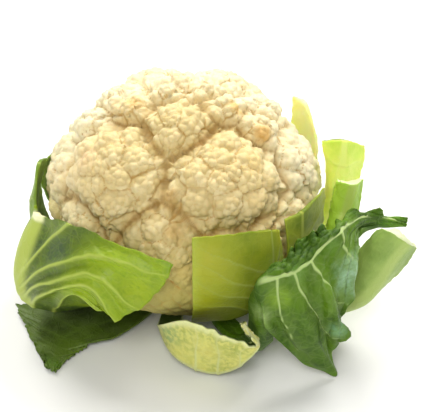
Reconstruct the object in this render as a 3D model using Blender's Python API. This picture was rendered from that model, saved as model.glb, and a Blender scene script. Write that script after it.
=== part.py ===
"""A trimmed cauliflower: one curd on a short cut stem, with its wrapper leaves round it.

Blender 4.5 script. Lengths in the tables below are in millimetres and become metres in the meshes.
The head stands on its cut stem: +Z is up, the origin is the middle of the cut face, -Y is the front.
"""
import math

import bmesh
import bpy
import numpy as np
from mathutils import Vector

MM = 0.001

# Curd: a flattened dome about its heart, cut off flat where the stem meets it
HEART = np.array([0.0, 0.0, 72.0])
CURD_RADIUS = 83.0
CURD_HALF_HEIGHT = 69.0
CURD_UNDERSIDE = 20.0
SURFACE_RADIUS = 76.0
LOBE_DEPTH = 0.27
LOBE_ROUND = 0.93
LOBE_BLEND = 0.12
FLORET_ROUND = 0.93
FLORET_DEPTH = 0.52
FLORET_CALM = 0.45
FLORET_FIRST = 6.4
FLORET_SPREAD = 0.66
FLORET_STRAY = 0.12
FLORET_SIZES = (0.9, 1.12)
FLORET_LIMIT = 1.15
FLORETS_PER_LOBE = 18
GAP_FLORET = 5.0
GAP_SHARE = 1.3
GAP_TRIES = 1600
BACK_LOBE = 31.0
BACK_LOBE_SPACING = 0.74
BACK_LOBE_LOWEST = math.radians(-6.0)
BACK_LOBE_TRIES = 900
GOLDEN_ANGLE = math.pi * (3.0 - math.sqrt(5.0))
ASIDE = np.array([0.31, 0.17, 0.93])
CREASE_MERGE = 2.6
CREASE_LONGEST = 26.0
FLANK_SHARE = 0.58
SMOOTH_CLEAR = 8.0
RELIEF_FULL = math.radians(-6.0)
RELIEF_NONE = math.radians(-26.0)
SMOOTH_FALL = 1.5
SMOOTH_SPACING = 9.5
SEED = 7

# Stem: a short core with a slightly flared foot, cut flat below
STEM_RADIUS = 27.0
STEM_FOOT_RADIUS = 24.0
STEM_TOP = CURD_UNDERSIDE - 0.3
STEM_BEVEL = 1.6
STEM_SIDES = 40

# Leaves: clearances, half thickness, and the midrib; veins and ruffles in shares of a leaf's length
CLEAR = 0.35
FLOOR_CLEAR = 0.4
TOUCH_SOFTNESS = 0.0004
BLADE_HALF = 0.6
RIB_SIDE = 9.0
RIB_UNDER = 0.35
VEIN_RISE = 0.7
VEIN_WIDTH = 0.018
VEINS_FROM = 0.30
VEINS_OVER = 0.60
VEIN_STAGGER = 0.03
RUFFLE_FROM = 0.25
RUFFLE_OVER = 0.20
RUFFLE_LEAN = 1.7

# Hidden leaves behind the curd, in an outer and an inner ring: azimuth in degrees, share of full height
OUTER_ROOT = 9.0
INNER_ROOT = 15.0
TIP_RISE = 4.0
OUTER_BACK = {"leaf_outer_back_right": (65, 0.86), "leaf_outer_back_middle": (103, 1.0),
              "leaf_outer_back_left": (140, 0.80)}
INNER_BACK = {"leaf_inner_back_right": (82, 1.0), "leaf_inner_back_left": (122, 0.92)}

# Colours, linear, with roughness, and the angle over which an edge stays sharp
CREAM = (0.80, 0.66, 0.42)
STEM_PALE = (0.62, 0.66, 0.36)
LEAF_GREEN = (0.17, 0.29, 0.05)
LEAF_COLOURS = {
    "leaf_left_wrap": (0.27, 0.40, 0.08), "leaf_front_tucked": (0.42, 0.44, 0.08),
    "leaf_front_cup": (0.58, 0.62, 0.20), "leaf_front_right": (0.06, 0.16, 0.03),
    "leaf_right_stub": (0.40, 0.54, 0.20), "leaf_right_upright": (0.36, 0.50, 0.12),
    "leaf_right_back": (0.52, 0.62, 0.16), "leaf_back_yellow": (0.66, 0.64, 0.16),
    "leaf_left_floor": (0.04, 0.10, 0.02), "leaf_inner_right": (0.36, 0.42, 0.07),
}
CURD_ROUGHNESS = 0.6
STEM_ROUGHNESS = 0.5
LEAF_ROUGHNESS = 0.45
SHARP_DEGREES = 50.0

# Lobes read from the photograph: azimuth and elevation seen from the heart in degrees, radius on the
# surface, and how far the lobe is set back
LOBES = [
    (226, 36, 49, 0.0), (296, 35, 50, 0.0), (266, 65, 35, 0.0), (199, 63, 21, 0.0), (178, 41, 19, 2.0),
    (340, 67, 21, 1.0), (341, 47, 21, 1.0), (349, 22, 27, 1.5), (186, 82, 16, 0.5), (10, 78, 18, 0.5),
    (262, 6, 31, 4.0), (219, 3, 24, 4.0), (290, 3, 20, 4.0), (326, 5, 18, 3.5),
    (95, 76, 22, 0.5), (164, 54, 20, 0.5), (8, 46, 20, 0.5), (309, 2, 20, 4.0),
    (189, 16, 20, 2.5),
]

# Leaves: each is lofted through rails that run from root to tip, listed from the viewer's left to
# right as seen from outside. "rib" is the rail that carries the midrib, "rib_half" its half thickness
# from root to tip, "veins" how many side veins leave it and "rake" how far they run towards the tip.
# "hug" is its gap to the curd, "ruffle" the height and number of waves along its margins, "side" how
# wide the rib spreads, and "thick" the share of the rib's thickness that stands out on the inner face.
LEAVES = {
    "leaf_left_wrap": dict(
        rails=[
            [(-28, -3, 10), (-52, -9, 10), (-75, -16, 14), (-90, -22, 25), (-93, -22, 42), (-88, -20, 60),
             (-79, -20, 76)],
            [(-26, -10, 10), (-48, -20, 10), (-71, -30, 11), (-88, -37, 21), (-92, -40, 40), (-87, -36, 60),
             (-77, -29, 76)],
            [(-23, -16, 10), (-44, -27, 11), (-66, -42, 18), (-76, -60, 38), (-72, -66, 56), (-62, -62, 74),
             (-56, -56, 88)],
            [(-20, -20, 10), (-38, -34, 14), (-56, -52, 28), (-57, -70, 52), (-46, -80, 60), (-40, -78, 76),
             (-37, -72, 88)],
            [(-18, -22, 11), (-34, -38, 18), (-48, -62, 38), (-40, -84, 50), (-33, -85, 43), (-13, -88, 60),
             (0, -87, 82)]],
        rib=1, rib_half=[3.0, 3.0, 3.4, 3.4, 3.0, 2.6, 2.2], veins=5, rake=0.22, hug=1.2, rows=25, steps=3),
    "leaf_front_tucked": dict(
        rails=[
            [(7, -28, 15), (6, -50, 16), (5, -64, 28), (6, -77, 42), (6, -84, 66), (6, -83, 95)],
            [(10, -27, 15), (14, -49, 16), (18, -64, 29), (24, -75, 46), (27, -81, 66), (27, -81, 96)],
            [(13, -26, 15), (22, -45, 16), (33, -59, 29), (42, -67, 46), (46, -68, 66), (46, -68, 90)],
            [(16, -24, 15), (27, -41, 16), (38, -54, 30), (47, -61, 48), (51, -63, 66), (49, -64, 88)]],
        rib=2, rib_half=[1.7, 1.7, 1.9, 1.9, 1.7, 1.5], veins=4, rake=0.12, hug=0.8, rows=19, steps=4),
    "leaf_front_cup": dict(
        rails=[
            [(-11, -27, 9), (-14, -46, 10), (-11, -70, 28), (2, -84, 42), (14, -91, 43), (27, -95, 39),
             (40, -98, 36), (34, -99, 46), (31, -99, 52)],
            [(-6, -28, 8), (-8, -50, 6), (-4, -70, 9), (6, -79, 7), (18, -82, 5), (30, -86, 12),
             (41, -96, 34), (36, -98, 44), (33, -99, 52)],
            [(0, -29, 9), (-2, -50, 9), (-1, -61, 14), (5, -68, 18), (16, -74, 19), (29, -84, 26),
             (40, -95, 37), (36, -96, 45), (33, -97, 51)]],
        rib=1, rib_half=[2.6, 2.6, 2.4, 2.0, 1.6, 1.2, 0.6, 0.4, 0.3], veins=4, rake=0.1, rows=27, steps=4),
    "leaf_front_right": dict(
        rails=[
            [(12, -28, 9), (23, -54, 10), (33, -66, 17), (37, -76, 34), (37, -82, 56), (42, -86, 67),
             (50, -80, 75), (55, -76, 78), (59, -71, 81), (64, -66, 84), (71, -62, 85), (81, -57, 83),
             (87, -46, 81), (103, -30, 76), (127, -17, 62)],
            [(15, -27, 8), (29, -53, 7), (40, -68, 11), (43, -80, 30), (41, -87, 54), (41, -91, 71),
             (49, -88, 74), (56, -84, 73), (61, -81, 74), (67, -76, 75), (74, -70, 80), (83, -63, 84),
             (89, -52, 82), (103, -34, 75), (128, -18, 60)],
            [(17, -26, 8), (32, -52, 7), (44, -66, 11), (47, -78, 26), (46, -87, 46), (43, -93, 57),
             (52, -89, 50), (66, -92, 44), (72, -84, 44), (79, -87, 54), (78, -79, 58), (85, -72, 66),
             (90, -61, 72), (100, -39, 73), (128, -18, 59)],
            [(20, -25, 8), (36, -49, 7), (48, -62, 11), (50, -76, 24), (48, -84, 38), (45, -92, 43),
             (60, -84, 19), (84, -82, 1), (83, -79, 15), (87, -84, 29), (86, -76, 32), (91, -74, 45),
             (94, -63, 64), (98, -44, 72), (127, -19, 59)]],
        rib=1, rib_half=[3.0, 3.0, 2.8, 2.0, 1.6, 1.6, 1.5, 1.4, 1.2, 1.0, 0.8], veins=6, rake=0.03,
        ruffle=(1.2, 6.0), rows=38, steps=4),
    "leaf_right_stub": dict(
        rails=[
            [(24, -17, 9), (49, -30, 10), (70, -36, 26), (84, -41, 42), (94, -43, 54), (101, -44, 64),
             (107, -44, 73)],
            [(25, -13, 9), (52, -26, 8), (77, -38, 17), (92, -47, 36), (100, -50, 52), (106, -51, 66),
             (113, -51, 78)],
            [(26, -10, 9), (53, -20, 8), (80, -35, 12), (98, -48, 28), (108, -50, 45), (114, -51, 60),
             (121, -51, 73)],
            [(26, -9, 9), (53, -17, 9), (81, -30, 12), (100, -42, 23), (112, -44, 35), (123, -45, 49),
             (129, -45, 63)]],
        rib=2, rib_half=[3.0, 3.0, 3.4, 4.0, 4.4, 4.6, 4.6], veins=0, rake=0.2, thick=1.1, side=12.0, rows=19,
        steps=3),
    "leaf_right_upright": dict(
        rails=[
            [(28, -3, 9), (56, -9, 10), (73, -19, 31), (76, -26, 54), (80, -20, 69), (87, -14, 87)],
            [(28, 0, 9), (58, -4, 9), (83, -11, 27), (87, -26, 56), (91, -20, 70), (94, -14, 85)],
            [(28, 4, 9), (58, 2, 10), (86, -3, 28), (97, -20, 57), (100, -14, 70), (102, -6, 83)]],
        rib=1, rib_half=[3.0, 3.0, 3.2, 3.4, 3.4, 3.4], veins=0, rake=0.2, hug=1.0, thick=0.9, rows=13,
        steps=4),
    "leaf_right_back": dict(
        rails=[
            [(28, 5, 15), (54, 9, 15), (76, 11, 36), (79, 13, 64), (78, 14, 82), (79, 13, 96)],
            [(27, 9, 15), (54, 18, 15), (84, 16, 34), (89, 6, 68), (91, 9, 83), (92, 12, 98)],
            [(25, 13, 15), (51, 26, 15), (84, 26, 36), (99, 14, 62), (105, 18, 75), (106, 20, 89)]],
        rib=1, rib_half=[1.7, 1.7, 2.2, 2.4, 2.4, 2.2], veins=3, rake=0.2, hug=1.0, rows=13, steps=3),
    "leaf_back_yellow": dict(
        rails=[
            [(24, 16, 15), (44, 31, 15), (66, 46, 36), (80, 42, 66), (77, 44, 92)],
            [(21, 18, 15), (41, 36, 15), (62, 54, 34), (76, 54, 66), (72, 52, 101)],
            [(19, 21, 15), (37, 41, 15), (56, 62, 36), (65, 68, 68), (66, 62, 100)]],
        rib=1, rib_half=[1.6, 1.6, 1.8, 1.6, 1.2], veins=3, rake=0.2, hug=2.0, rows=13, steps=3),
    "leaf_left_back": dict(
        rails=[
            [(-28, 6, 15), (-57, 12, 15), (-80, 20, 34), (-86, 24, 60), (-78, 24, 78)],
            [(-28, 2, 15), (-57, 5, 15), (-82, 6, 32), (-89, 4, 56), (-81, 12, 82)],
            [(-28, -1, 15), (-57, -2, 15), (-82, -4, 34), (-86, -6, 56), (-80, 2, 74)]],
        rib=1, rib_half=[1.6, 1.6, 1.6, 1.4, 1.0], veins=3, rake=0.2, hug=1.5, rows=13, steps=3),
    "leaf_left_floor": dict(
        rails=[
            [(-21, -20, 4), (-46, -24, 3), (-82, -16, 3), (-101, -20, 4), (-96, -34, 3), (-86, -55, 2),
             (-75, -79, 2)],
            [(-19, -22, 4), (-38, -34, 3), (-58, -44, 3), (-68, -52, 3), (-71, -60, 2.5), (-72, -68, 2),
             (-73, -80, 2)],
            [(-16, -24, 4), (-27, -40, 4), (-39, -52, 4), (-49, -57, 4), (-58, -63, 3), (-65, -71, 2),
             (-71, -81, 2)]],
        rib=1, rib_half=[1.4, 1.2, 1.1, 1.0, 0.8, 0.5, 0.3], veins=4, rake=0.25, ruffle=(0.8, 3.0), rows=17,
        steps=5),
    "leaf_inner_right": dict(
        rails=[
            [(19, -22, 15), (35, -40, 15), (50, -55, 30), (56, -62, 56), (55, -62, 76), (54, -62, 92)],
            [(22, -19, 15), (39, -35, 15), (56, -50, 29), (62, -59, 54), (63, -58, 76), (63, -58, 94)],
            [(24, -16, 15), (43, -28, 15), (62, -42, 31), (70, -50, 55), (72, -48, 76), (72, -48, 97)],
            [(26, -13, 15), (45, -22, 15), (67, -34, 31), (76, -41, 55), (77, -38, 76), (77, -40, 98)]],
        rib=1, rib_half=[1.6, 1.6, 1.8, 1.6, 1.4, 1.2], veins=3, rake=0.2, hug=0.8, rows=13, steps=3),
}


def smooth_step(x):
    x = np.clip(x, 0.0, 1.0)
    return x * x * (3.0 - 2.0 * x)


def unit(v):
    return v / np.maximum(np.linalg.norm(v, axis=-1, keepdims=True), 1e-9)


def direction(azimuth, elevation):
    """Unit vectors from angles in radians."""
    return np.stack([np.cos(elevation) * np.cos(azimuth), np.cos(elevation) * np.sin(azimuth),
                     np.sin(elevation)], -1)


def spiral(count):
    """Evenly spread unit vectors on the golden spiral."""
    k = np.arange(count) + 0.5
    return direction(k * GOLDEN_ANGLE, np.arcsin(1.0 - 2.0 * k / count))


def surface_distance(a, b):
    """Distance over the curd between every direction in a and every direction in b."""
    return np.arccos(np.clip(a @ b.T, -1.0, 1.0)) * SURFACE_RADIUS


def dome(x, roundness):
    """Fall of a round cap: nothing at its middle, 1 at its rim."""
    y = roundness * x
    return (1.0 - np.sqrt(1.0 - y * y)) / (1.0 - math.sqrt(1.0 - roundness * roundness))


def all_lobes():
    """Directions, radii and set-backs of the lobes: the photograph's, then more over the hidden sides."""
    dirs = [direction(math.radians(a), math.radians(e)) for a, e, r, b in LOBES]
    radii = [float(r) for a, e, r, b in LOBES]
    backs = [b for a, e, r, b in LOBES]
    rng = np.random.default_rng(SEED)
    for dart in spiral(BACK_LOBE_TRIES)[rng.permutation(BACK_LOBE_TRIES)]:
        if dart[2] < math.sin(BACK_LOBE_LOWEST):
            continue
        gap = surface_distance(dart[None], np.array(dirs))[0]
        if np.all(gap > BACK_LOBE_SPACING * (np.array(radii) + BACK_LOBE)):
            dirs.append(dart)
            radii.append(BACK_LOBE * rng.uniform(0.9, 1.1))
            backs.append(0.0)
    return np.array(dirs), np.array(radii), np.array(backs)


def florets(lobes):
    """Directions, radii and nearness to a lobe's rim of the florets: a sunflower spiral on each lobe,
    small in its middle and larger at its rim, then more in the gaps between lobes."""
    rng = np.random.default_rng(SEED + 1)
    dirs = []
    radii = []
    rims = []
    growth = 0.5 * FLORET_FIRST * math.sqrt(2.0 * math.pi * FLORET_SPREAD)
    for i, axis in enumerate(lobes[0]):
        side = unit(np.cross(axis, ASIDE))
        up = np.cross(axis, side)
        start = rng.uniform(0.0, 2.0 * math.pi)
        for j in range(FLORETS_PER_LOBE):
            turn = FLORET_FIRST * (j + 0.15) ** FLORET_SPREAD / SURFACE_RADIUS
            angle = start + j * GOLDEN_ANGLE + rng.uniform(-FLORET_STRAY, FLORET_STRAY)
            size = growth * (j + 0.6) ** (FLORET_SPREAD - 0.5) * rng.uniform(*FLORET_SIZES)
            d = axis * math.cos(turn) + (side * math.cos(angle) + up * math.sin(angle)) * math.sin(turn)
            share = surface_distance(d[None], lobes[0])[0] / lobes[1]
            if math.asin(d[2]) > RELIEF_NONE and np.argmin(share) == i and share[i] < FLORET_LIMIT:
                dirs.append(d)
                radii.append(size)
                rims.append(smooth_step(share[i]))
    tries = spiral(GAP_TRIES)
    centres = curd_base(np.array(dirs), lobes)
    for d, spot in zip(tries, curd_base(tries, lobes)):
        clear = np.all(np.linalg.norm(centres - spot, axis=1) > GAP_SHARE * np.array(radii))
        if clear and math.asin(d[2]) > RELIEF_NONE:
            dirs.append(d)
            radii.append(GAP_FLORET)
            rims.append(1.0)
            centres = np.vstack([centres, spot])
    return np.array(dirs), np.array(radii), np.array(rims)


def envelope(d):
    """Distance from the heart to the smooth outer shape of the curd."""
    flat = (d[:, 0] ** 2 + d[:, 1] ** 2) / CURD_RADIUS**2
    return 1.0 / np.sqrt(flat + d[:, 2] ** 2 / CURD_HALF_HEIGHT**2)


def lobe_fall(d, lobes):
    """Depth below the envelope in the directions d: each lobe is a dome that blends into the next."""
    lobe_dirs, lobe_radii, lobe_backs = lobes
    ratio = surface_distance(d, lobe_dirs) / lobe_radii
    first, second = np.partition(ratio, 1, axis=1)[:, :2].T
    weight = np.exp((first[:, None] - ratio) / LOBE_BLEND)
    weight /= weight.sum(axis=1, keepdims=True)
    rise = LOBE_DEPTH * (weight @ lobe_radii)
    return weight @ lobe_backs + rise * dome(2.0 * first / (first + second), LOBE_ROUND)


def relief_share(d):
    """How much of the relief shows in the directions d: all of it above, none on the smooth underside."""
    elevation = np.arcsin(np.clip(d[:, 2], -1.0, 1.0))
    return smooth_step((elevation - RELIEF_NONE) / (RELIEF_FULL - RELIEF_NONE))


def curd_base(d, lobes):
    """Points of the curd in the directions d with its lobes, before the florets."""
    relief = relief_share(d)
    reach = envelope(d) - lobe_fall(d, lobes) * relief - SMOOTH_FALL * (1.0 - relief)
    return HEART + d * reach[:, None]


def curd_surface(d, lobes, floret_dirs, floret_radii, floret_rims):
    """Points of the curd in the directions d: envelope, less the creases of lobes and florets."""
    ratio = surface_distance(d, floret_dirs) / floret_radii
    nearest = np.argmin(ratio, axis=1)
    depth = FLORET_DEPTH * floret_radii * (FLORET_CALM + (1.0 - FLORET_CALM) * floret_rims)
    first, second = np.partition(ratio, 1, axis=1)[:, :2].T
    fall = depth[nearest] * dome(2.0 * first / (first + second), FLORET_ROUND)
    points = curd_base(d, lobes) - d * (fall * relief_share(d))[:, None]
    points[:, 2] = np.maximum(points[:, 2], CURD_UNDERSIDE)
    return points


def hull_triangles(dirs):
    """Triangles between unit vectors, from their convex hull."""
    bm = bmesh.new()
    verts = [bm.verts.new(Vector(d)) for d in dirs]
    bmesh.ops.convex_hull(bm, input=verts)
    bm.verts.index_update()
    faces = [[v.index for v in f.verts] for f in bm.faces]
    bm.free()
    return [f for f in faces if len(f) == 3]


def thinned(dirs, gap):
    """The directions in order, leaving out each that is nearer than gap to one already kept."""
    near = surface_distance(dirs, dirs) < gap
    kept = []
    for i in range(len(dirs)):
        if not near[i, kept].any():
            kept.append(i)
    return dirs[kept]


def curd_directions(floret_dirs, floret_radii):
    """Where the curd's mesh has its corners: floret tops, their flanks, and the creases between."""
    creases = []
    flanks = []
    for f in hull_triangles(floret_dirs):
        weight = 1.0 / floret_radii[f]
        corner = unit((floret_dirs[f] * weight[:, None]).sum(0))
        if np.max(surface_distance(corner[None], floret_dirs[f])) > CREASE_LONGEST:
            continue
        creases.append(corner)
        for a, b in ((0, 1), (1, 2), (2, 0)):
            creases.append(unit(floret_dirs[f[a]] * weight[a] + floret_dirs[f[b]] * weight[b]))
        for k in range(3):
            flanks.append(unit((1.0 - FLANK_SHARE) * floret_dirs[f[k]] + FLANK_SHARE * corner))
    plain = spiral(int(4.0 * math.pi * (SURFACE_RADIUS / SMOOTH_SPACING) ** 2))
    lowest = np.min(surface_distance(plain, floret_dirs), axis=1)
    plain = plain[lowest > SMOOTH_CLEAR]
    return thinned(np.concatenate([floret_dirs, creases, flanks, plain]), CREASE_MERGE)


def through(values, t):
    """A smooth curve through evenly spaced values, at the parameters t from 0 to 1."""
    v = np.asarray(values, float)
    n = len(v) - 1
    x = np.clip(np.asarray(t, float) * n, 0, n)
    i = np.minimum(x.astype(int), n - 1)
    e = np.concatenate([[2 * v[0] - v[1]], v, [2 * v[-1] - v[-2]]])
    a, b, c, d = e[i], e[i + 1], e[i + 2], e[i + 3]
    f = (x - i).reshape(-1, *[1] * (v.ndim - 1))
    cubic = (2 * a - 5 * b + 4 * c - d) * f**2 + (3 * b - a - 3 * c + d) * f**3
    return 0.5 * (2 * b + (c - a) * f + cubic)


def clear_of_curd(points, gap):
    """Points moved out until they are gap millimetres off the curd's envelope."""
    size = np.array([CURD_RADIUS, CURD_RADIUS, CURD_HALF_HEIGHT]) + np.asarray(gap)[..., None]
    q = (points - HEART) / size
    r = np.linalg.norm(q, axis=-1, keepdims=True)
    pushed = 0.5 * (r + 1.0 + np.sqrt((r - 1.0) ** 2 + TOUCH_SOFTNESS))
    beside = points[..., 2:3] > CURD_UNDERSIDE - 0.4
    return np.where(beside, HEART + q / r * pushed * size, points)


def clear_of_stem(points):
    """Points at the stem's height moved out to its side."""
    r = np.linalg.norm(points[..., :2], axis=-1, keepdims=True)
    least = np.where(points[..., 2:3] < CURD_UNDERSIDE, STEM_RADIUS + CLEAR, 0.0)
    scale = np.maximum(r, least) / np.maximum(r, 1e-6)
    return np.concatenate([points[..., :2] * scale, points[..., 2:3]], -1)


def grid_normals(points):
    """Outward normals of a leaf's middle surface."""
    along = np.gradient(points, axis=0)
    across = np.gradient(points, axis=1)
    return unit(np.cross(across, along))


def vein_relief(s, across, count, rake):
    """Height of the side veins, 0 to 1: s runs from root to tip, across from -1 to 1."""
    relief = np.zeros(np.broadcast(s, across).shape)
    for k in range(count):
        start = VEINS_FROM + VEINS_OVER * (k + 0.3) / count
        for side in (-1.0, 1.0):
            out = across * side
            path = start + VEIN_STAGGER * side / count + rake * np.maximum(out, 0.0) ** 1.4
            vein = np.exp(-(((s - path) / VEIN_WIDTH) ** 2)) * (1.0 - 0.5 * out)
            relief = np.maximum(relief, np.where(out > 0, vein, 0.0))
    return relief


def leaf_layers(leaf):
    """The outer and inner faces of a leaf, each as a grid of points from root to tip."""
    rails = leaf["rails"]
    t = np.linspace(0.0, 1.0, leaf["rows"])
    gaps = len(rails) - 1
    u = np.linspace(0.0, 1.0, gaps * leaf["steps"] + 1)
    lofted = through(np.stack([through(rail, t) for rail in rails]), u)
    middle = np.swapaxes(lofted, 0, 1)
    rib_column = leaf["rib"] * leaf["steps"]
    steps = np.linalg.norm(np.diff(middle, axis=1), axis=-1)
    travelled = np.concatenate([np.zeros((len(t), 1)), np.cumsum(steps, axis=1)], 1)
    from_rib = travelled - travelled[:, rib_column:rib_column + 1]
    reach = np.where(from_rib < 0, travelled[:, rib_column:rib_column + 1],
                     travelled[:, -1:] - travelled[:, rib_column:rib_column + 1])
    across = from_rib / np.maximum(reach, 1e-6)
    rib_half = through(leaf["rib_half"], t)[:, None]
    bulge = rib_half * np.exp(-((from_rib / leaf.get("side", RIB_SIDE)) ** 2))
    if "ruffle" in leaf:
        height, waves = leaf["ruffle"]
        wave = height * np.sin(2.0 * math.pi * waves * t[:, None] + RUFFLE_LEAN * across) * across**2
        wave *= smooth_step((t - RUFFLE_FROM) / RUFFLE_OVER)[:, None]
        middle = middle + grid_normals(middle) * wave[..., None]
    under = BLADE_HALF + leaf.get("thick", RIB_UNDER) * bulge
    if "hug" in leaf:
        middle = clear_of_curd(middle, leaf["hug"] + under)
    normal = grid_normals(middle)
    veins = VEIN_RISE * vein_relief(t[:, None], across, leaf["veins"], leaf["rake"])
    outer = middle + normal * (BLADE_HALF + bulge + veins)[..., None]
    inner = middle - normal * under[..., None]
    layers = []
    for layer in (outer, inner):
        layer = clear_of_stem(clear_of_curd(layer, np.full(layer.shape[:2], CLEAR)))
        layer[..., 2] = np.maximum(layer[..., 2], FLOOR_CLEAR)
        layers.append(layer)
    return layers


def leaf_mesh(leaf):
    """Closed triangles of a leaf: both faces split alike, and a wall round the edge."""
    outer, inner = leaf_layers(leaf)
    rows, columns = outer.shape[:2]
    index = np.arange(rows * columns).reshape(rows, columns)
    under = rows * columns
    triangles = []
    for i in range(rows - 1):
        for j in range(columns - 1):
            a, b, c, d = index[i, j], index[i, j + 1], index[i + 1, j + 1], index[i + 1, j]
            split = ((a, b, c), (a, c, d)) if (i + j) % 2 else ((a, b, d), (b, c, d))
            triangles += split
            triangles += [(p + under, r + under, q + under) for p, q, r in split]
    ring = list(index[0, :]) + list(index[1:, -1]) + list(index[-1, -2::-1]) + list(index[-2:0:-1, 0])
    for a, b in zip(ring, ring[1:] + ring[:1]):
        triangles += [(b, a, a + under), (b, a + under, b + under)]
    return np.concatenate([outer.reshape(-1, 3), inner.reshape(-1, 3)]), triangles


def ring_leaf(azimuth, radii, heights, spreads, **more):
    """A plain upright leaf at an azimuth in degrees: rails at its two margins and its midrib."""
    rails = []
    for side in (-1.0, 1.0):
        angles = [math.radians(azimuth + side * spread) for spread in spreads]
        rails.append([(r * math.cos(a), r * math.sin(a), h) for r, a, h in zip(radii, angles, heights)])
    middle = math.radians(azimuth)
    rib = [(r * math.cos(middle), r * math.sin(middle), h) for r, h in zip(radii, heights)]
    rib[-1] = (rib[-1][0], rib[-1][1], rib[-1][2] + TIP_RISE)
    leaf = dict(rails=[rails[0], rib, rails[1]], rib=1, rib_half=[2.4, 2.4, 2.2, 1.8, 1.5, 1.2], veins=4,
                rake=0.2, rows=13, steps=3)
    leaf.update(more)
    return leaf


def back_leaves():
    """The leaves that the photograph can't show, in two rings behind the curd."""
    leaves = {}
    for name, (azimuth, share) in OUTER_BACK.items():
        heights = [OUTER_ROOT, OUTER_ROOT, 20, 20 + 24 * share, 20 + 44 * share, 20 + 62 * share]
        leaves[name] = ring_leaf(azimuth, [28.5, 56, 82, 95, 97, 93], heights, [10, 10, 11, 14, 17, 14],
                                 ruffle=(1.3, 3.5), hug=6.0)
    for name, (azimuth, share) in INNER_BACK.items():
        heights = [INNER_ROOT, INNER_ROOT, 34, 34 + 22 * share, 34 + 42 * share, 34 + 60 * share]
        leaves[name] = ring_leaf(azimuth, [28.5, 54, 76, 86, 86, 80], heights, [9, 9, 12, 17, 17, 12],
                                 rib_half=[1.6, 1.6, 1.8, 1.6, 1.4, 1.2], hug=0.8)
    return leaves


def make_object(name, vertices, faces, colour, roughness):
    """A mesh object in metres with its own Principled material."""
    mesh = bpy.data.meshes.new(name)
    mesh.from_pydata((np.asarray(vertices) * MM).tolist(), [], [tuple(int(i) for i in f) for f in faces])
    mesh.validate()
    mesh.shade_smooth()
    mesh.set_sharp_from_angle(angle=math.radians(SHARP_DEGREES))
    material = bpy.data.materials.new(name)
    material.use_nodes = True
    shader = material.node_tree.nodes["Principled BSDF"]
    shader.inputs["Base Color"].default_value = (*colour, 1.0)
    shader.inputs["Roughness"].default_value = roughness
    shader.inputs["Metallic"].default_value = 0.0
    mesh.materials.append(material)
    thing = bpy.data.objects.new(name, mesh)
    bpy.context.scene.collection.objects.link(thing)
    return thing


def make_curd():
    lobes = all_lobes()
    floret_dirs, floret_radii, floret_rims = florets(lobes)
    dirs = curd_directions(floret_dirs, floret_radii)
    points = curd_surface(dirs, lobes, floret_dirs, floret_radii, floret_rims)
    faces = []
    for a, b, c in hull_triangles(dirs):
        facing = np.cross(dirs[b] - dirs[a], dirs[c] - dirs[a])
        faces.append((a, b, c) if np.dot(facing, dirs[a]) > 0 else (a, c, b))
    return make_object("curd", points, faces, CREAM, CURD_ROUGHNESS)


def make_stem():
    bm = bmesh.new()
    bmesh.ops.create_cone(bm, cap_ends=True, segments=STEM_SIDES, radius1=STEM_FOOT_RADIUS,
                          radius2=STEM_RADIUS, depth=STEM_TOP)
    bmesh.ops.translate(bm, verts=bm.verts, vec=Vector((0.0, 0.0, STEM_TOP / 2.0)))
    vertices = [tuple(v.co) for v in bm.verts]
    faces = [[v.index for v in f.verts] for f in bm.faces]
    bm.free()
    stem = make_object("stem", vertices, faces, STEM_PALE, STEM_ROUGHNESS)
    bevel = stem.modifiers.new("cut edge", "BEVEL")
    bevel.width = STEM_BEVEL * MM
    bevel.segments = 2
    bevel.limit_method = "ANGLE"
    return stem


for old in list(bpy.data.objects):
    bpy.data.objects.remove(old, do_unlink=True)

make_curd()
make_stem()
for leaf_name, leaf in {**LEAVES, **back_leaves()}.items():
    leaf_vertices, leaf_faces = leaf_mesh(leaf)
    leaf_colour = LEAF_COLOURS.get(leaf_name, LEAF_GREEN)
    make_object(leaf_name, leaf_vertices, leaf_faces, leaf_colour, LEAF_ROUGHNESS)
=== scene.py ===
"""Looks of a trimmed cauliflower: a finely grained curd, veined leaves, cut petioles and a stem.

Lengths in the tables are in millimetres and become metres in the meshes. The shapes repeat the rules
of the source solids at a finer scale, so that each fine piece keeps the form of the node it replaces.
"""

import math

import bpy
import numpy as np
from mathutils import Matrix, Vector
from numpy.linalg import norm


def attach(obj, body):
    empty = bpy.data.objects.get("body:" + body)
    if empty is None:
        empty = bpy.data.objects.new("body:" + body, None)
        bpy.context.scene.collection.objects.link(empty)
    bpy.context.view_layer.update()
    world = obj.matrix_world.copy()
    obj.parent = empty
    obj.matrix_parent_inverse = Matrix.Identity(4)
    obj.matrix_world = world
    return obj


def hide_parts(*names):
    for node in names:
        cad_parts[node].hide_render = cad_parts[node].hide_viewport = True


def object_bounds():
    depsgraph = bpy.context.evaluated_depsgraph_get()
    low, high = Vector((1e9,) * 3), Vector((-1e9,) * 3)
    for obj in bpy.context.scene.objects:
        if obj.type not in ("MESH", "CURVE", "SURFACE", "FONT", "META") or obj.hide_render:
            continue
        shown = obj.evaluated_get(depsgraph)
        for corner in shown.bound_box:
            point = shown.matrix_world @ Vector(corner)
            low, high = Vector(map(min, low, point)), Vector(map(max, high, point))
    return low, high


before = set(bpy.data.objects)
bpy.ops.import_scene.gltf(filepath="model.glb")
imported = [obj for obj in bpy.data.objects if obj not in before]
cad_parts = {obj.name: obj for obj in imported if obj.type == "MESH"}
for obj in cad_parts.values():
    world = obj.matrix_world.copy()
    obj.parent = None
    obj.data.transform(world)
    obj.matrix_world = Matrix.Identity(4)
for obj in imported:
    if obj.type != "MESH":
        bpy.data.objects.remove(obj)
cad_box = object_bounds()
scene = bpy.context.scene

MM = 0.001
BODY = "root"
SEED = 7
TURN = 2.0 * math.pi
GOLDEN_ANGLE = math.pi * (3.0 - math.sqrt(5.0))

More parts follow.
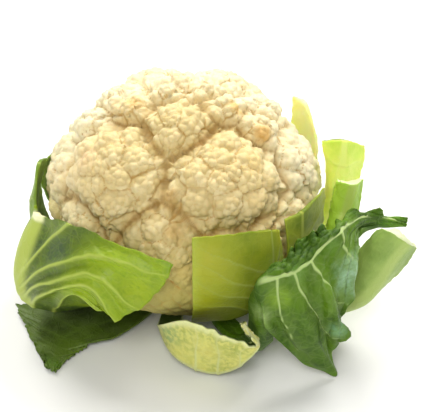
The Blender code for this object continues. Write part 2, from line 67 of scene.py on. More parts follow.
# Camera and image, as the photograph was taken
IMAGE_WIDTH = 422
FOCAL_PIXELS = 1200.0
SENSOR = 36.0
CAMERA_TARGET = Vector((0.016, 0.0, 0.060))
CAMERA_DISTANCE = 0.700
CAMERA_ELEVATION = math.radians(33.0)

# Soft studio light: place, size in metres and power in watts of each lamp
LAMPS = {
    "behind_left": ((-0.60, 0.75, 1.30), 0.9, 17.0),
    "behind_right": ((0.65, 0.70, 1.30), 0.9, 21.0),
    "front": ((-0.10, -1.15, 1.15), 0.7, 13.0),
}
LAMP_COLOUR = (1.0, 0.98, 0.95)
WORLD_STRENGTH = 0.32
FLOOR_SIZE = 4.0
FLOOR_COLOUR = (0.88, 0.88, 0.87)

# Curd: its smooth outer shape
HEART = np.array([0.0, 0.0, 72.0])
CURD_RADIUS = 83.0
CURD_HALF_HEIGHT = 69.0
CURD_UNDERSIDE = 20.0
SURFACE_RADIUS = 76.0
RELIEF_FULL = math.radians(-6.0)
RELIEF_NONE = math.radians(-26.0)
SMOOTH_FALL = 1.5

# Curd: lobes. Their depth is a share of their radius, and a roundness of 1 is a half ball
LOBE_DEPTH = 0.27
LOBE_ROUND = 0.93
LOBE_BLEND = 0.12
BACK_LOBE = 31.0
BACK_LOBE_SIZES = (0.9, 1.1)
BACK_LOBE_SPACING = 0.74
BACK_LOBE_LOWEST = math.radians(-6.0)
BACK_LOBE_TRIES = 900

# Curd: florets on each lobe, buds on each floret, and small florets on the underside
SPIRAL_START = 0.15
SPIRAL_SIZE_START = 0.6
FLORET_FIRST = 6.4
FLORET_SPREAD = 0.66
FLORET_STRAY = 0.12
FLORET_SIZES = (0.9, 1.12)
FLORET_LIMIT = 1.15
FLORETS_PER_LOBE = 18
GAP_FLORET = 5.0
GAP_SHARE = 1.3
GAP_TRIES = 1600
FLORET_DEPTH = 0.52
FLORET_CALM = 0.45
FLORET_ROUND = 0.93
BUD_FIRST = 2.3
BUD_SPREAD = 0.60
BUD_STRAY = 0.25
BUD_SIZES = (0.82, 1.2)
BUD_STRETCH = (0.92, 1.12)
BUDS_PER_FLORET = 30
BUD_DEPTH = 0.56
BUD_CALM = 0.72
BUD_ROUND = 0.86
UNDER_COUNT = 1250
UNDER_HIGHEST = math.radians(-8.0)
UNDER_SIZES = (0.8, 1.25)
UNDER_DEPTH = 1.3

# Curd: width of its creases in shares of a cell, which sets where they get painted shade
VALLEY_WIDTH = 0.28
FLORET_CREASE = 0.16
BUD_CREASE = 0.30
UNDER_CREASE = (0.40, 0.10)

# Curd: a direction that no floret faces, the share of the surface's normal in the way that florets
# swell, and the mesh, which is denser towards the camera
ASIDE = np.array([0.31, 0.17, 0.93])
SWELL = 0.5
GRID = 122
CHUNK = 6000
DENSE_TOWARDS = np.array([0.0, -0.60, 0.80])
DENSITY = 0.36

# Stem and leaves
STEM_RADIUS = 27.0
CLEAR = 0.35
FLOOR_CLEAR = 0.4
BLADE_HALF = 0.45
RIB_SIDE = 9.0
RIB_UNDER = 0.35
VEIN_RISE = 0.55
VEIN_FINE = 0.38
VEIN_TAPER = 0.55
VEIN_SWAY = 0.012
VEIN_FORK = 0.10
FORK_FROM = 0.42
LARGE_GRID = (130, 85)
SMALL_GRID = (72, 33)
ROOT_SHARE = 0.3
ROOT_ROWS = 13
MARGIN_WAVES = (3, 7, 13, 23)
END_WAVES = (2, 5, 11)
FRILL_WAVES = (5, 8)
CRIMP_WAVES = (9, 14, 21)
PUCKER_WAVES = (3, 5, 8)
PUCKER_CELLS = (2.6, 9.0)

# Lobes read from the photograph: azimuth and elevation seen from the heart in degrees, radius on the
# surface, and how far the lobe is set back
LOBES = [
    (226, 36, 49, 0), (296, 35, 50, 0), (266, 65, 35, 0), (199, 63, 21, 0), (178, 41, 19, 2),
    (340, 67, 21, 1), (341, 47, 21, 1), (349, 22, 27, 1.5), (186, 82, 16, 0.5), (10, 78, 18, 0.5),
    (262, 6, 31, 4), (219, 3, 24, 4), (290, 3, 20, 4), (326, 5, 18, 3.5),
    (95, 76, 22, 0.5), (164, 54, 20, 0.5), (8, 46, 20, 0.5), (309, 2, 20, 4),
    (189, 16, 20, 2.5),
]

# Hidden leaves behind the curd, in an outer and an inner ring: azimuth in degrees and share of full
# height of each, height at the root and where the blade turns up, how far its points rise from there,
# and their distance and half width in degrees seen from the stem
TIP_RISE = 4.0
BACK_RINGS = [
    dict(leaves={"leaf_outer_back_right": (65, 0.86), "leaf_outer_back_middle": (103, 1.0),
                 "leaf_outer_back_left": (140, 0.80)},
         root=9, foot=20, rises=[0, 24, 44, 62], radii=[28.5, 56, 82, 95, 97, 93],
         spreads=[10, 10, 11, 14, 17, 14], rib_half=[2.4, 2.4, 2.2, 1.8, 1.5, 1.2], hug=6.0,
         ruffle=(1.3, 3.5)),
    dict(leaves={"leaf_inner_back_right": (82, 1.0), "leaf_inner_back_left": (122, 0.92)},
         root=15, foot=34, rises=[0, 22, 42, 60], radii=[28.5, 54, 76, 86, 86, 80],
         spreads=[9, 9, 12, 17, 17, 12], rib_half=[1.6, 1.6, 1.8, 1.6, 1.4, 1.2], hug=0.8),
]

# Leaves: each is lofted through rails that run from root to tip, listed from the viewer's left to
# right as seen from outside. "rib" is the rail that carries the midrib, and "rib_half" its half
# thickness from root to tip. "hug" is the leaf's gap to the curd, "ruffle" the height and number of
# waves along its margins, "side" how wide the rib spreads, and "thick" the share of the rib's
# thickness that stands out on the inner face.
LEAVES = {
    "leaf_left_wrap": dict(rails=[
        [(-28, -3, 10), (-52, -9, 10), (-75, -16, 14), (-90, -22, 25), (-93, -22, 42), (-88, -20, 60),
         (-79, -20, 76)],
        [(-26, -10, 10), (-48, -20, 10), (-71, -30, 11), (-88, -37, 21), (-92, -40, 40), (-87, -36, 60),
         (-77, -29, 76)],
        [(-23, -16, 10), (-44, -27, 11), (-66, -42, 18), (-76, -60, 38), (-72, -66, 56), (-62, -62, 74),
         (-56, -56, 88)],
        [(-20, -20, 10), (-38, -34, 14), (-56, -52, 28), (-57, -70, 52), (-46, -80, 60), (-40, -78, 76),
         (-37, -72, 88)],
        [(-18, -22, 11), (-34, -38, 18), (-48, -62, 38), (-40, -84, 50), (-33, -85, 43), (-13, -88, 60),
         (0, -87, 82)]],
        rib=1, rib_half=[3, 3, 3.4, 3.4, 3, 2.6, 2.2], hug=1.2),
    "leaf_front_tucked": dict(rails=[
        [(7, -28, 15), (6, -50, 16), (5, -64, 28), (6, -77, 42), (6, -84, 66), (6, -83, 95)],
        [(10, -27, 15), (14, -49, 16), (18, -64, 29), (24, -75, 46), (27, -81, 66), (27, -81, 96)],
        [(13, -26, 15), (22, -45, 16), (33, -59, 29), (42, -67, 46), (46, -68, 66), (46, -68, 90)],
        [(16, -24, 15), (27, -41, 16), (38, -54, 30), (47, -61, 48), (51, -63, 66), (49, -64, 88)]],
        rib=2, rib_half=[1.7, 1.7, 1.9, 1.9, 1.7, 1.5], hug=0.8),
    "leaf_front_cup": dict(rails=[
        [(-11, -27, 9), (-14, -46, 10), (-11, -70, 28), (2, -84, 42), (14, -91, 43), (27, -95, 39),
         (40, -98, 36), (34, -99, 46), (31, -99, 52)],
        [(-6, -28, 8), (-8, -50, 6), (-4, -70, 9), (6, -79, 7), (18, -82, 5), (30, -86, 12),
         (41, -96, 34), (36, -98, 44), (33, -99, 52)],
        [(0, -29, 9), (-2, -50, 9), (-1, -61, 14), (5, -68, 18), (16, -74, 19), (29, -84, 26),
         (40, -95, 37), (36, -96, 45), (33, -97, 51)]],
        rib=1, rib_half=[2.6, 2.6, 2.4, 2, 1.6, 1.2, 0.6, 0.4, 0.3]),
    "leaf_front_right": dict(rails=[
        [(12, -28, 9), (23, -54, 10), (33, -66, 17), (37, -76, 34), (37, -82, 56), (42, -86, 67),
         (50, -80, 75), (55, -76, 78), (59, -71, 81), (64, -66, 84), (71, -62, 85), (81, -57, 83),
         (87, -46, 81), (103, -30, 76), (127, -17, 62)],
        [(15, -27, 8), (29, -53, 7), (40, -68, 11), (43, -80, 30), (41, -87, 54), (41, -91, 71),
         (49, -88, 74), (56, -84, 73), (61, -81, 74), (67, -76, 75), (74, -70, 80), (83, -63, 84),
         (89, -52, 82), (103, -34, 75), (128, -18, 60)],
        [(17, -26, 8), (32, -52, 7), (44, -66, 11), (47, -78, 26), (46, -87, 46), (43, -93, 57),
         (52, -89, 50), (66, -92, 44), (72, -84, 44), (79, -87, 54), (78, -79, 58), (85, -72, 66),
         (90, -61, 72), (100, -39, 73), (128, -18, 59)],
        [(20, -25, 8), (36, -49, 7), (48, -62, 11), (50, -76, 24), (48, -84, 38), (45, -92, 43),
         (60, -84, 19), (84, -82, 1), (83, -79, 15), (87, -84, 29), (86, -76, 32), (91, -74, 45),
         (94, -63, 64), (98, -44, 72), (127, -19, 59)]],
        rib=1, rib_half=[3, 3, 2.8, 2, 1.6, 1.6, 1.5, 1.4, 1.2, 1, 0.8], ruffle=(1.2, 6.0)),
    "leaf_right_stub": dict(rails=[
        [(24, -17, 9), (49, -30, 10), (70, -36, 26), (84, -41, 42), (94, -43, 54), (101, -44, 64),
         (107, -44, 73)],
        [(25, -13, 9), (52, -26, 8), (77, -38, 17), (92, -47, 36), (100, -50, 52), (106, -51, 66),
         (113, -51, 78)],
        [(26, -10, 9), (53, -20, 8), (80, -35, 12), (98, -48, 28), (108, -50, 45), (114, -51, 60),
         (121, -51, 73)],
        [(26, -9, 9), (53, -17, 9), (81, -30, 12), (100, -42, 23), (112, -44, 35), (123, -45, 49),
         (129, -45, 63)]],
        rib=2, rib_half=[3, 3, 3.4, 4, 4.4, 4.6, 4.6], thick=1.1, side=12.0),
    "leaf_right_upright": dict(rails=[
        [(28, -3, 9), (56, -9, 10), (73, -19, 31), (76, -26, 54), (80, -20, 69), (87, -14, 87)],
        [(28, 0, 9), (58, -4, 9), (83, -11, 27), (87, -26, 56), (91, -20, 70), (94, -14, 85)],
        [(28, 4, 9), (58, 2, 10), (86, -3, 28), (97, -20, 57), (100, -14, 70), (102, -6, 83)]],
        rib=1, rib_half=[3, 3, 3.2, 3.4, 3.4, 3.4], hug=1.0, thick=0.9),
    "leaf_right_back": dict(rails=[
        [(28, 5, 15), (54, 9, 15), (76, 11, 36), (79, 13, 64), (78, 14, 82), (79, 13, 96)],
        [(27, 9, 15), (54, 18, 15), (84, 16, 34), (89, 6, 68), (91, 9, 83), (92, 12, 98)],
        [(25, 13, 15), (51, 26, 15), (84, 26, 36), (99, 14, 62), (105, 18, 75), (106, 20, 89)]],
        rib=1, rib_half=[1.7, 1.7, 2.2, 2.4, 2.4, 2.2], hug=1.0),
    "leaf_back_yellow": dict(rails=[
        [(24, 16, 15), (44, 31, 15), (66, 46, 36), (80, 42, 66), (77, 44, 92)],
        [(21, 18, 15), (41, 36, 15), (62, 54, 34), (76, 54, 66), (72, 52, 101)],
        [(19, 21, 15), (37, 41, 15), (56, 62, 36), (65, 68, 68), (66, 62, 100)]],
        rib=1, rib_half=[1.6, 1.6, 1.8, 1.6, 1.2], hug=2.0),
    "leaf_left_back": dict(rails=[
        [(-28, 6, 15), (-57, 12, 15), (-80, 20, 34), (-86, 24, 60), (-78, 24, 78)],
        [(-28, 2, 15), (-57, 5, 15), (-82, 6, 32), (-89, 4, 56), (-81, 12, 82)],
        [(-28, -1, 15), (-57, -2, 15), (-82, -4, 34), (-86, -6, 56), (-80, 2, 74)]],
        rib=1, rib_half=[1.6, 1.6, 1.6, 1.4, 1], hug=1.5),
    "leaf_left_floor": dict(rails=[
        [(-21, -20, 4), (-46, -24, 3), (-82, -16, 3), (-101, -20, 4), (-96, -34, 3), (-86, -55, 2),
         (-75, -79, 2)],
        [(-19, -22, 4), (-38, -34, 3), (-58, -44, 3), (-68, -52, 3), (-71, -60, 2.5), (-72, -68, 2),
         (-73, -80, 2)],
        [(-16, -24, 4), (-27, -40, 4), (-39, -52, 4), (-49, -57, 4), (-58, -63, 3), (-65, -71, 2),
         (-71, -81, 2)]],
        rib=1, rib_half=[1.4, 1.2, 1.1, 1, 0.8, 0.5, 0.3], ruffle=(0.8, 3.0)),
    "leaf_inner_right": dict(rails=[
        [(19, -22, 15), (35, -40, 15), (50, -55, 30), (56, -62, 56), (55, -62, 76), (54, -62, 92)],
        [(22, -19, 15), (39, -35, 15), (56, -50, 29), (62, -59, 54), (63, -58, 76), (63, -58, 94)],
        [(24, -16, 15), (43, -28, 15), (62, -42, 31), (70, -50, 55), (72, -48, 76), (72, -48, 97)],
        [(26, -13, 15), (45, -22, 15), (67, -34, 31), (76, -41, 55), (77, -38, 76), (77, -40, 98)]],
        rib=1, rib_half=[1.6, 1.6, 1.8, 1.6, 1.4, 1.2], hug=0.8),
}

# Colours of the curd, from its cream to its deepest creases. Its painted light is the pale cream on top
# and sides, and its painted shade the foot, underside, crease and valley colours
CREAM_DARK = (0.62, 0.49, 0.215)
CREAM_LIGHT = (0.72, 0.605, 0.32)
CREAM_PAINTED_LIGHT = (0.87, 0.81, 0.56)
WARM_PATCH = (0.76, 0.55, 0.22)
FOOT_PAINTED_SHADE = (0.53, 0.44, 0.085)
UNDERSIDE_PAINTED_SHADE = (0.37, 0.33, 0.085)
BUD_CREASE_SHADE = (0.60, 0.37, 0.075)
FLORET_CREASE_SHADE = (0.46, 0.25, 0.040)
VALLEY_SHADE = (0.54, 0.36, 0.11)
VALLEY_LINE_SHADE = (0.30, 0.165, 0.030)

# Where the curd gets painted light, paler by the cosine to a direction, and where its foot gets painted
# shade, darker by height in metres
PAINTED_LIGHT_AWAY_FROM = (0.0, -0.84, 0.54)
PAINTED_LIGHT_RANGE = (0.84, 0.38)
SHADE_HEIGHTS = (0.100, 0.040)

# Stains on the curd, and at its front patches of painted shade: spot and radius in millimetres, strength,
# and colour
CURD_STAINS_AND_SHADE = [
    ((45, -23, 122), 9, 0.75, (0.68, 0.38, 0.08)), ((55, -33, 111), 8, 0.65, (0.68, 0.40, 0.10)),
    ((62, -32, 103), 6, 0.6, (0.66, 0.42, 0.12)), ((31, -11, 132), 8, 0.6, (0.74, 0.46, 0.10)),
    ((-26, -10, 133), 7, 0.6, (0.72, 0.45, 0.13)), ((14, 7, 136), 5, 0.8, (0.42, 0.22, 0.05)),
    ((-50, -36, 113), 9, 0.35, (0.76, 0.48, 0.28)), ((39, -43, 117), 9, 0.45, (0.78, 0.55, 0.18)),
    # From (-7, -67, 106) on: painted shade, darker brown in the valley below the front lobes and on the
    # lower front
    ((-35, -6, 131), 7, 0.3, (0.70, 0.50, 0.20)), ((-7, -67, 106), 12, 0.9, (0.44, 0.25, 0.06)),
    ((-2, -74, 92), 10, 0.7, (0.46, 0.28, 0.07)), ((-20, -76, 66), 9, 0.45, (0.50, 0.32, 0.10)),
]

# Cut petioles, and the stem with the radius of its ring in metres
CUT_PALE = (0.86, 0.86, 0.66)
CUT_DOTS = (0.52, 0.62, 0.26)
STEM_FLESH = ((0.70, 0.70, 0.42), (0.82, 0.82, 0.58))
STEM_RING = 0.0195
STEM_RING_TINT = (0.52, 0.58, 0.24)
STEM_DOT_TINT = (0.42, 0.46, 0.18)

# How each leaf looks. Colours: "deep" and "fresh" of the blade, "rib" of rib and veins, "inside" of the
# inner face, painted shade where it is given, "cap" of the rib's cut tip, and "stains_and_painted_light":
# real stains, and on some leaves also patches of painted shade and painted highlights. "zone" is the share
# of the way to the margin over which deep turns fresh, "net" how clear the vein net is, "fold_highlight"
# how strongly the folds are painted lighter as a painted highlight, "through" how much light enters,
# "gloss" the shine. "mottle" gives scale, strength and colour, "streaks" the waves across and along,
# strength and colour, and "edge" start, strength and colour. "veins" says where each side vein leaves the
# rib and meets the margin, from 0 at the root to 1 at the tip, and its side if it has only one. "bend" and
# "hump" shape the veins, "wide" and "rise" scale them, "fold" and "quilt" are width and height of the folds
# along them. "rib_wide", "rib_at" and "rib_from" give the width, offset and start of the rib's colour.
# "ragged", "torn", "crimp", "frill" and "pucker" wear margins and blade. "cut" shows a cut face at the tip.
BASE_LOOK = dict(
    bend=1.3, wide=1.0, rise=1.0, fold=3.0, quilt=1.0, rib_wide=2.0, rib_at=0.0, rib_from=-1.0, net=0.1,
    ragged=0.012, torn=0.004, crimp=0.5, fold_highlight=0.15, through=0.30, gloss=0.28, stains_and_painted_light=[],
    streaks=(26.0, 9.0, 0.22, None), edge=(0.93, 0.35, None), veins=[(0.5, 0.6), (0.65, 0.75), (0.8, 0.9)])
PLAIN_LOOK = dict(
    deep=(0.065, 0.125, 0.014), fresh=(0.18, 0.28, 0.030), rib=(0.40, 0.48, 0.17), net=0.18, rib_wide=2.2,
    veins=[(0.36, 0.50), (0.46, 0.60), (0.56, 0.70), (0.66, 0.80), (0.76, 0.90), (0.86, 0.97)])
LOOKS = {
    "leaf_left_wrap": dict(
        deep=(0.04, 0.075, 0.014), fresh=(0.29, 0.41, 0.008), rib=(0.44, 0.53, 0.1),
        veins=[(0.36, 0.47, 1), (0.46, 0.68, 1), (0.53, 0.77, 1), (0.57, 0.95, 1),
               (0.57, 1.62, 1)],
        hump=(0.075, 0.7, 0.17), bend=0.95, fold=4.2, wide=2.2, rib_wide=17,
        rib_at=3, cap=(0.93, 0.93, 0.55), zone=(0.4, 0.72), quilt=6, rise=2.6, fold_highlight=0.16,
        streaks=(2.5, 60, 0.45, (0.13, 0.25, 0.006)), ragged=0.02, rib_from=0.44, torn=0.012,
        stains_and_painted_light=[
            # Painted shade: the dark grey-green patches low on the blade at (-70, -50, 36), (-66, -42, 18)
            # and (-60, -64, 34), and a painted shadow, the near-black patch at (-50, -58, 33), in the hollow
            # under the arched lower edge
            ((-64, -60, 68), 16, 0.9, (0.065, 0.105, 0.05)),
            ((-76, -46, 52), 13, 0.7, (0.08, 0.12, 0.05)), ((-70, -50, 36), 16, 0.8, (0.07, 0.105, 0.04)),
            ((-66, -42, 18), 18, 0.9, (0.05, 0.085, 0.02)),
            ((-50, -58, 33), 9, 0.9, (0.014, 0.03, 0.005)),
            ((-60, -64, 34), 16, 0.6, (0.085, 0.125, 0.045)),
            ((-22, -86, 62), 14, 0.5, (0.36, 0.45, 0.01)),
            ((2, -88, 84), 17, 0.95, (0.06, 0.15, 0.008))]),
    "leaf_front_tucked": dict(
        deep=(0.19, 0.255, 0.008), fresh=(0.35, 0.365, 0.01), rib=(0.32, 0.38, 0.07),
        veins=[(0.5, 0.7), (0.6, 0.82), (0.7, 0.92), (0.8, 0.99)], bend=1.2, rib_wide=1.2,
        zone=(0.3, 0.95), ragged=0.008, fold_highlight=0.22, mottle=(120, 0.3, (0.3, 0.36, 0.02)),
        edge=(0.86, 0.5, (0.4, 0.48, 0.06)),
        stains_and_painted_light=[
            # Painted light: the lighter green patch at (47, -68, 68) on the right margin, which curves away
            # from the lamps
            ((47, -68, 68), 15, 0.6, (0.26, 0.38, 0.035)), ((10, -84, 84), 14, 0.5, (0.42, 0.4, 0.035))]),
    "leaf_front_cup": dict(
        deep=(0.26, 0.35, 0.05), fresh=(0.6, 0.6, 0.14), rib=(0.62, 0.66, 0.28), net=0.28,
        mottle=(330, 0.75, (0.72, 0.7, 0.2)), veins=[(0.4, 0.44), (0.52, 0.56), (0.64, 0.68)],
        # The dark "inside" colour is painted shade inside the cup
        bend=1, rib_wide=3, inside=(0.05, 0.09, 0.012), ragged=0.03, crimp=1.3,
        edge=(0.8, 0.9, (0.8, 0.84, 0.42)),
        stains_and_painted_light=[
            ((-8, -72, 26), 13, 0.8, (0.3, 0.44, 0.16)), ((12, -90, 22), 9, 0.5, (0.62, 0.56, 0.1)),
            ((28, -94, 28), 8, 0.5, (0.36, 0.42, 0.07))]),
    "leaf_front_right": dict(
        deep=(0.024, 0.072, 0.001), fresh=(0.095, 0.2, 0.003), rib=(0.45, 0.58, 0.22),
        veins=[(0.43, 0.46, 1), (0.53, 0.643, 1), (0.65, 0.786, 1), (0.8, 0.88, 1)], bend=1.5,
        rib_wide=1.3, frill=(3.6, 15), ragged=0.035, crimp=1.6, quilt=5, fold=6.5, rise=2.2,
        gloss=0.2, streaks=(8, 30, 0.5, (0.095, 0.19, 0.008)),
        mottle=(230, 0.35, (0.1, 0.19, 0.016)), pucker=0.9, rib_from=0.325,
        stains_and_painted_light=[
            # Painted light: the yellow-green patch at (51, -90, 62) where light shines through the blade,
            # and the pale blue-grey sheen at (90, -66, 60) and (84, -85, 38). Painted shade: the dark
            # patches at (52, -90, 52) and (48, -88, 40) in the notch between the flap and the main blade
            ((51, -90, 62), 10, 0.65, (0.24, 0.4, 0.006)), ((70, -88, 30), 14, 0.6, (0.02, 0.06, 0.002)),
            ((120, -22, 66), 18, 0.8, (0.1, 0.26, 0.008)), ((90, -66, 60), 17, 0.9, (0.36, 0.56, 0.38)),
            ((84, -85, 38), 8, 0.75, (0.19, 0.38, 0.2)), ((52, -90, 52), 4.5, 0.7, (0.018, 0.05, 0.002)),
            ((48, -88, 40), 6, 0.8, (0.018, 0.05, 0.002)), ((42, -91, 50), 10, 0.95, (0.25, 0.36, 0.11)),
            ((60, -82, 72), 8, 0.55, (0.16, 0.33, 0.06)), ((78, -66, 78), 8, 0.55, (0.16, 0.33, 0.06))]),
    "leaf_right_stub": dict(
        deep=(0.22, 0.34, 0.07), fresh=(0.36, 0.5, 0.12), rib=(0.4, 0.52, 0.14), net=0.04, veins=[],
        rib_wide=6, cut=True),
    "leaf_right_upright": dict(
        deep=(0.24, 0.45, 0.02), fresh=(0.4, 0.62, 0.05), rib=(0.42, 0.56, 0.1), net=0.04, veins=[],
        rib_wide=5, cut=True),
    "leaf_right_back": dict(
        deep=(0.62, 0.8, 0.09), fresh=(0.84, 0.92, 0.2), rib=(0.84, 0.92, 0.24),
        # The dark "inside" colour is painted shade on the inner face, which faces the curd
        veins=[(0.6, 0.7), (0.8, 0.9)], rib_wide=4, inside=(0.05, 0.12, 0.012), through=0.6),
    "leaf_back_yellow": dict(
        deep=(0.93, 0.95, 0.3), fresh=(0.96, 0.96, 0.46), rib=(0.94, 0.95, 0.46), net=0.15,
        through=0.9),
    "leaf_left_back": dict(
        deep=(0.06, 0.12, 0.012), fresh=(0.2, 0.32, 0.03), rib=(0.34, 0.42, 0.1), net=0.2),
    "leaf_left_floor": dict(
        deep=(0.036, 0.06, 0.006), fresh=(0.11, 0.18, 0.016), rib=(0.1, 0.16, 0.02), net=0.15,
        veins=[(0.35, 0.45), (0.5, 0.62), (0.65, 0.78), (0.8, 0.9)], rib_wide=1.5, ragged=0.1, torn=0.03,
        crimp=1.2, mottle=(150, 0.5, (0.12, 0.17, 0.04)),
        stains_and_painted_light=[((-73, -76, 2), 12, 0.7, (0.095, 0.2, 0.012))]),
    "leaf_inner_right": dict(
        deep=(0.13, 0.19, 0.01), fresh=(0.34, 0.4, 0.03), rib=(0.36, 0.42, 0.06), net=0.12,
        veins=[(0.5, 0.65), (0.65, 0.8), (0.8, 0.94)]),
}
LARGE = ("leaf_left_wrap", "leaf_front_tucked", "leaf_front_cup", "leaf_front_right")


def smooth_step(x, start=0.0, width=1.0):
    x = np.clip((x - start) / width, 0.0, 1.0)
    return x * x * (3.0 - 2.0 * x)


def unit(v):
    return v / np.maximum(norm(v, axis=-1, keepdims=True), 1e-9)


def direction(azimuth, elevation):
    """Unit vectors from angles in radians."""
    return np.stack([np.cos(elevation) * np.cos(azimuth), np.cos(elevation) * np.sin(azimuth),
                     np.sin(elevation)], -1)


def spiral(count):
    """Evenly spread unit vectors on the golden spiral."""
    k = np.arange(count) + 0.5
    return direction(k * GOLDEN_ANGLE, np.arcsin(1.0 - 2.0 * k / count))


def surface_distance(a, b):
    """Distance over the curd between every direction in a and every direction in b."""
    return np.arccos(np.clip(a @ b.T, -1.0, 1.0)) * SURFACE_RADIUS


def two_least(ratio):
    """The least and the next least of each row."""
    return np.partition(ratio, 1, axis=1)[:, :2].T


def dome(first, second, roundness):
    """Fall of a round cap from 0 at its middle to 1 where the next cap is as near."""
    y = roundness * (2.0 * first / (first + second))
    return (1.0 - np.sqrt(1.0 - y * y)) / (1.0 - math.sqrt(1.0 - roundness * roundness))


def growth(first, spread):
    """Radius of the cells of a sunflower spiral, to be scaled by a power of their place on it."""
    return 0.5 * first * math.sqrt(TURN * spread)


def by_column(rows):
    """An array for each column of a table."""
    return [np.array(column) for column in zip(*rows)]


def all_lobes():
    """Directions, radii and set-backs of the lobes: the photograph's, then more over the hidden sides."""
    found = [(direction(math.radians(a), math.radians(e)), r, back) for a, e, r, back in LOBES]
    rng = np.random.default_rng(SEED)
    for dart in spiral(BACK_LOBE_TRIES)[rng.permutation(BACK_LOBE_TRIES)]:
        if dart[2] < math.sin(BACK_LOBE_LOWEST):
            continue
        dirs, radii, _ = by_column(found)
        if np.all(surface_distance(dart[None], dirs)[0] > BACK_LOBE_SPACING * (radii + BACK_LOBE)):
            found.append((dart, BACK_LOBE * rng.uniform(*BACK_LOBE_SIZES), 0.0))
    return by_column(found)


def florets(lobes):
    """Directions, radii and nearness to a lobe's rim of the florets: a sunflower spiral on each lobe,
    small in its middle and larger at its rim, then more in the gaps between lobes."""
    rng = np.random.default_rng(SEED + 1)
    found = []
    first_size = growth(FLORET_FIRST, FLORET_SPREAD)
    for i, axis in enumerate(lobes[0]):
        side = unit(np.cross(axis, ASIDE))
        up = np.cross(axis, side)
        start = rng.uniform(0.0, TURN)
        for j in range(FLORETS_PER_LOBE):
            turn = FLORET_FIRST * (j + SPIRAL_START) ** FLORET_SPREAD / SURFACE_RADIUS
            angle = start + j * GOLDEN_ANGLE + rng.uniform(-FLORET_STRAY, FLORET_STRAY)
            size = first_size * (j + SPIRAL_SIZE_START) ** (FLORET_SPREAD - 0.5)
            size *= rng.uniform(*FLORET_SIZES)
            d = axis * math.cos(turn) + (side * math.cos(angle) + up * math.sin(angle)) * math.sin(turn)
            share = surface_distance(d[None], lobes[0])[0] / lobes[1]
            if math.asin(d[2]) > RELIEF_NONE and np.argmin(share) == i and share[i] < FLORET_LIMIT:
                found.append((d, size, smooth_step(share[i])))
    tries = spiral(GAP_TRIES)
    centres = curd_base(by_column(found)[0], lobes)
    for d, spot in zip(tries, curd_base(tries, lobes)):
        clear = np.all(norm(centres - spot, axis=1) > GAP_SHARE * by_column(found)[1])
        if clear and math.asin(d[2]) > RELIEF_NONE:
            found.append((d, GAP_FLORET, 1.0))
            centres = np.vstack([centres, spot])
    return by_column(found)


def envelope(d):
    """Distance from the heart to the smooth outer shape of the curd."""
    flat = (d[:, 0] ** 2 + d[:, 1] ** 2) / CURD_RADIUS**2
    return 1.0 / np.sqrt(flat + d[:, 2] ** 2 / CURD_HALF_HEIGHT**2)


def lobe_fall(d, lobes):
    """Depth below the envelope in the directions d: each lobe is a dome that blends into the next."""
    lobe_dirs, lobe_radii, lobe_backs = lobes
    ratio = surface_distance(d, lobe_dirs) / lobe_radii
    first, second = two_least(ratio)
    weight = np.exp((first[:, None] - ratio) / LOBE_BLEND)
    weight /= weight.sum(axis=1, keepdims=True)
    rise = LOBE_DEPTH * (weight @ lobe_radii)
    return weight @ lobe_backs + rise * dome(first, second, LOBE_ROUND)


def relief_share(d):
    """How much of the relief shows in the directions d: all of it above, none on the smooth underside."""
    elevation = np.arcsin(np.clip(d[:, 2], -1.0, 1.0))
    return smooth_step(elevation, RELIEF_NONE, RELIEF_FULL - RELIEF_NONE)


def curd_base(d, lobes):
    """Points of the curd in the directions d with its lobes, before the florets."""
    relief = relief_share(d)
    reach = envelope(d) - lobe_fall(d, lobes) * relief - SMOOTH_FALL * (1.0 - relief)
    return HEART + d * reach[:, None]


def mesh_normals(points, quads):
    """Outward normals at the corners of a mesh of quads."""
    corner = points[quads]
    facing = np.cross(corner[:, 2] - corner[:, 0], corner[:, 3] - corner[:, 1])
    total = np.zeros_like(points)
    for k in range(4):
        for axis in range(3):
            total[:, axis] += np.bincount(quads[:, k], facing[:, axis], len(points))
    return unit(total)


def two_nearest(points, centres, radii):
    """For each point: the nearest cell by share of its radius, that share, and the next cell's."""
    cell = np.empty(len(points), dtype=int)
    shares = np.empty((2, len(points)))
    for start in range(0, len(points), CHUNK):
        part = slice(start, start + CHUNK)
        squared = (points[part] ** 2).sum(1)[:, None] + (centres**2).sum(1) - 2.0 * points[part] @ centres.T
        ratio = np.sqrt(np.maximum(squared, 0.0)) / radii
        cell[part] = np.argmin(ratio, axis=1)
        shares[:, part] = two_least(ratio)
    return cell, *shares


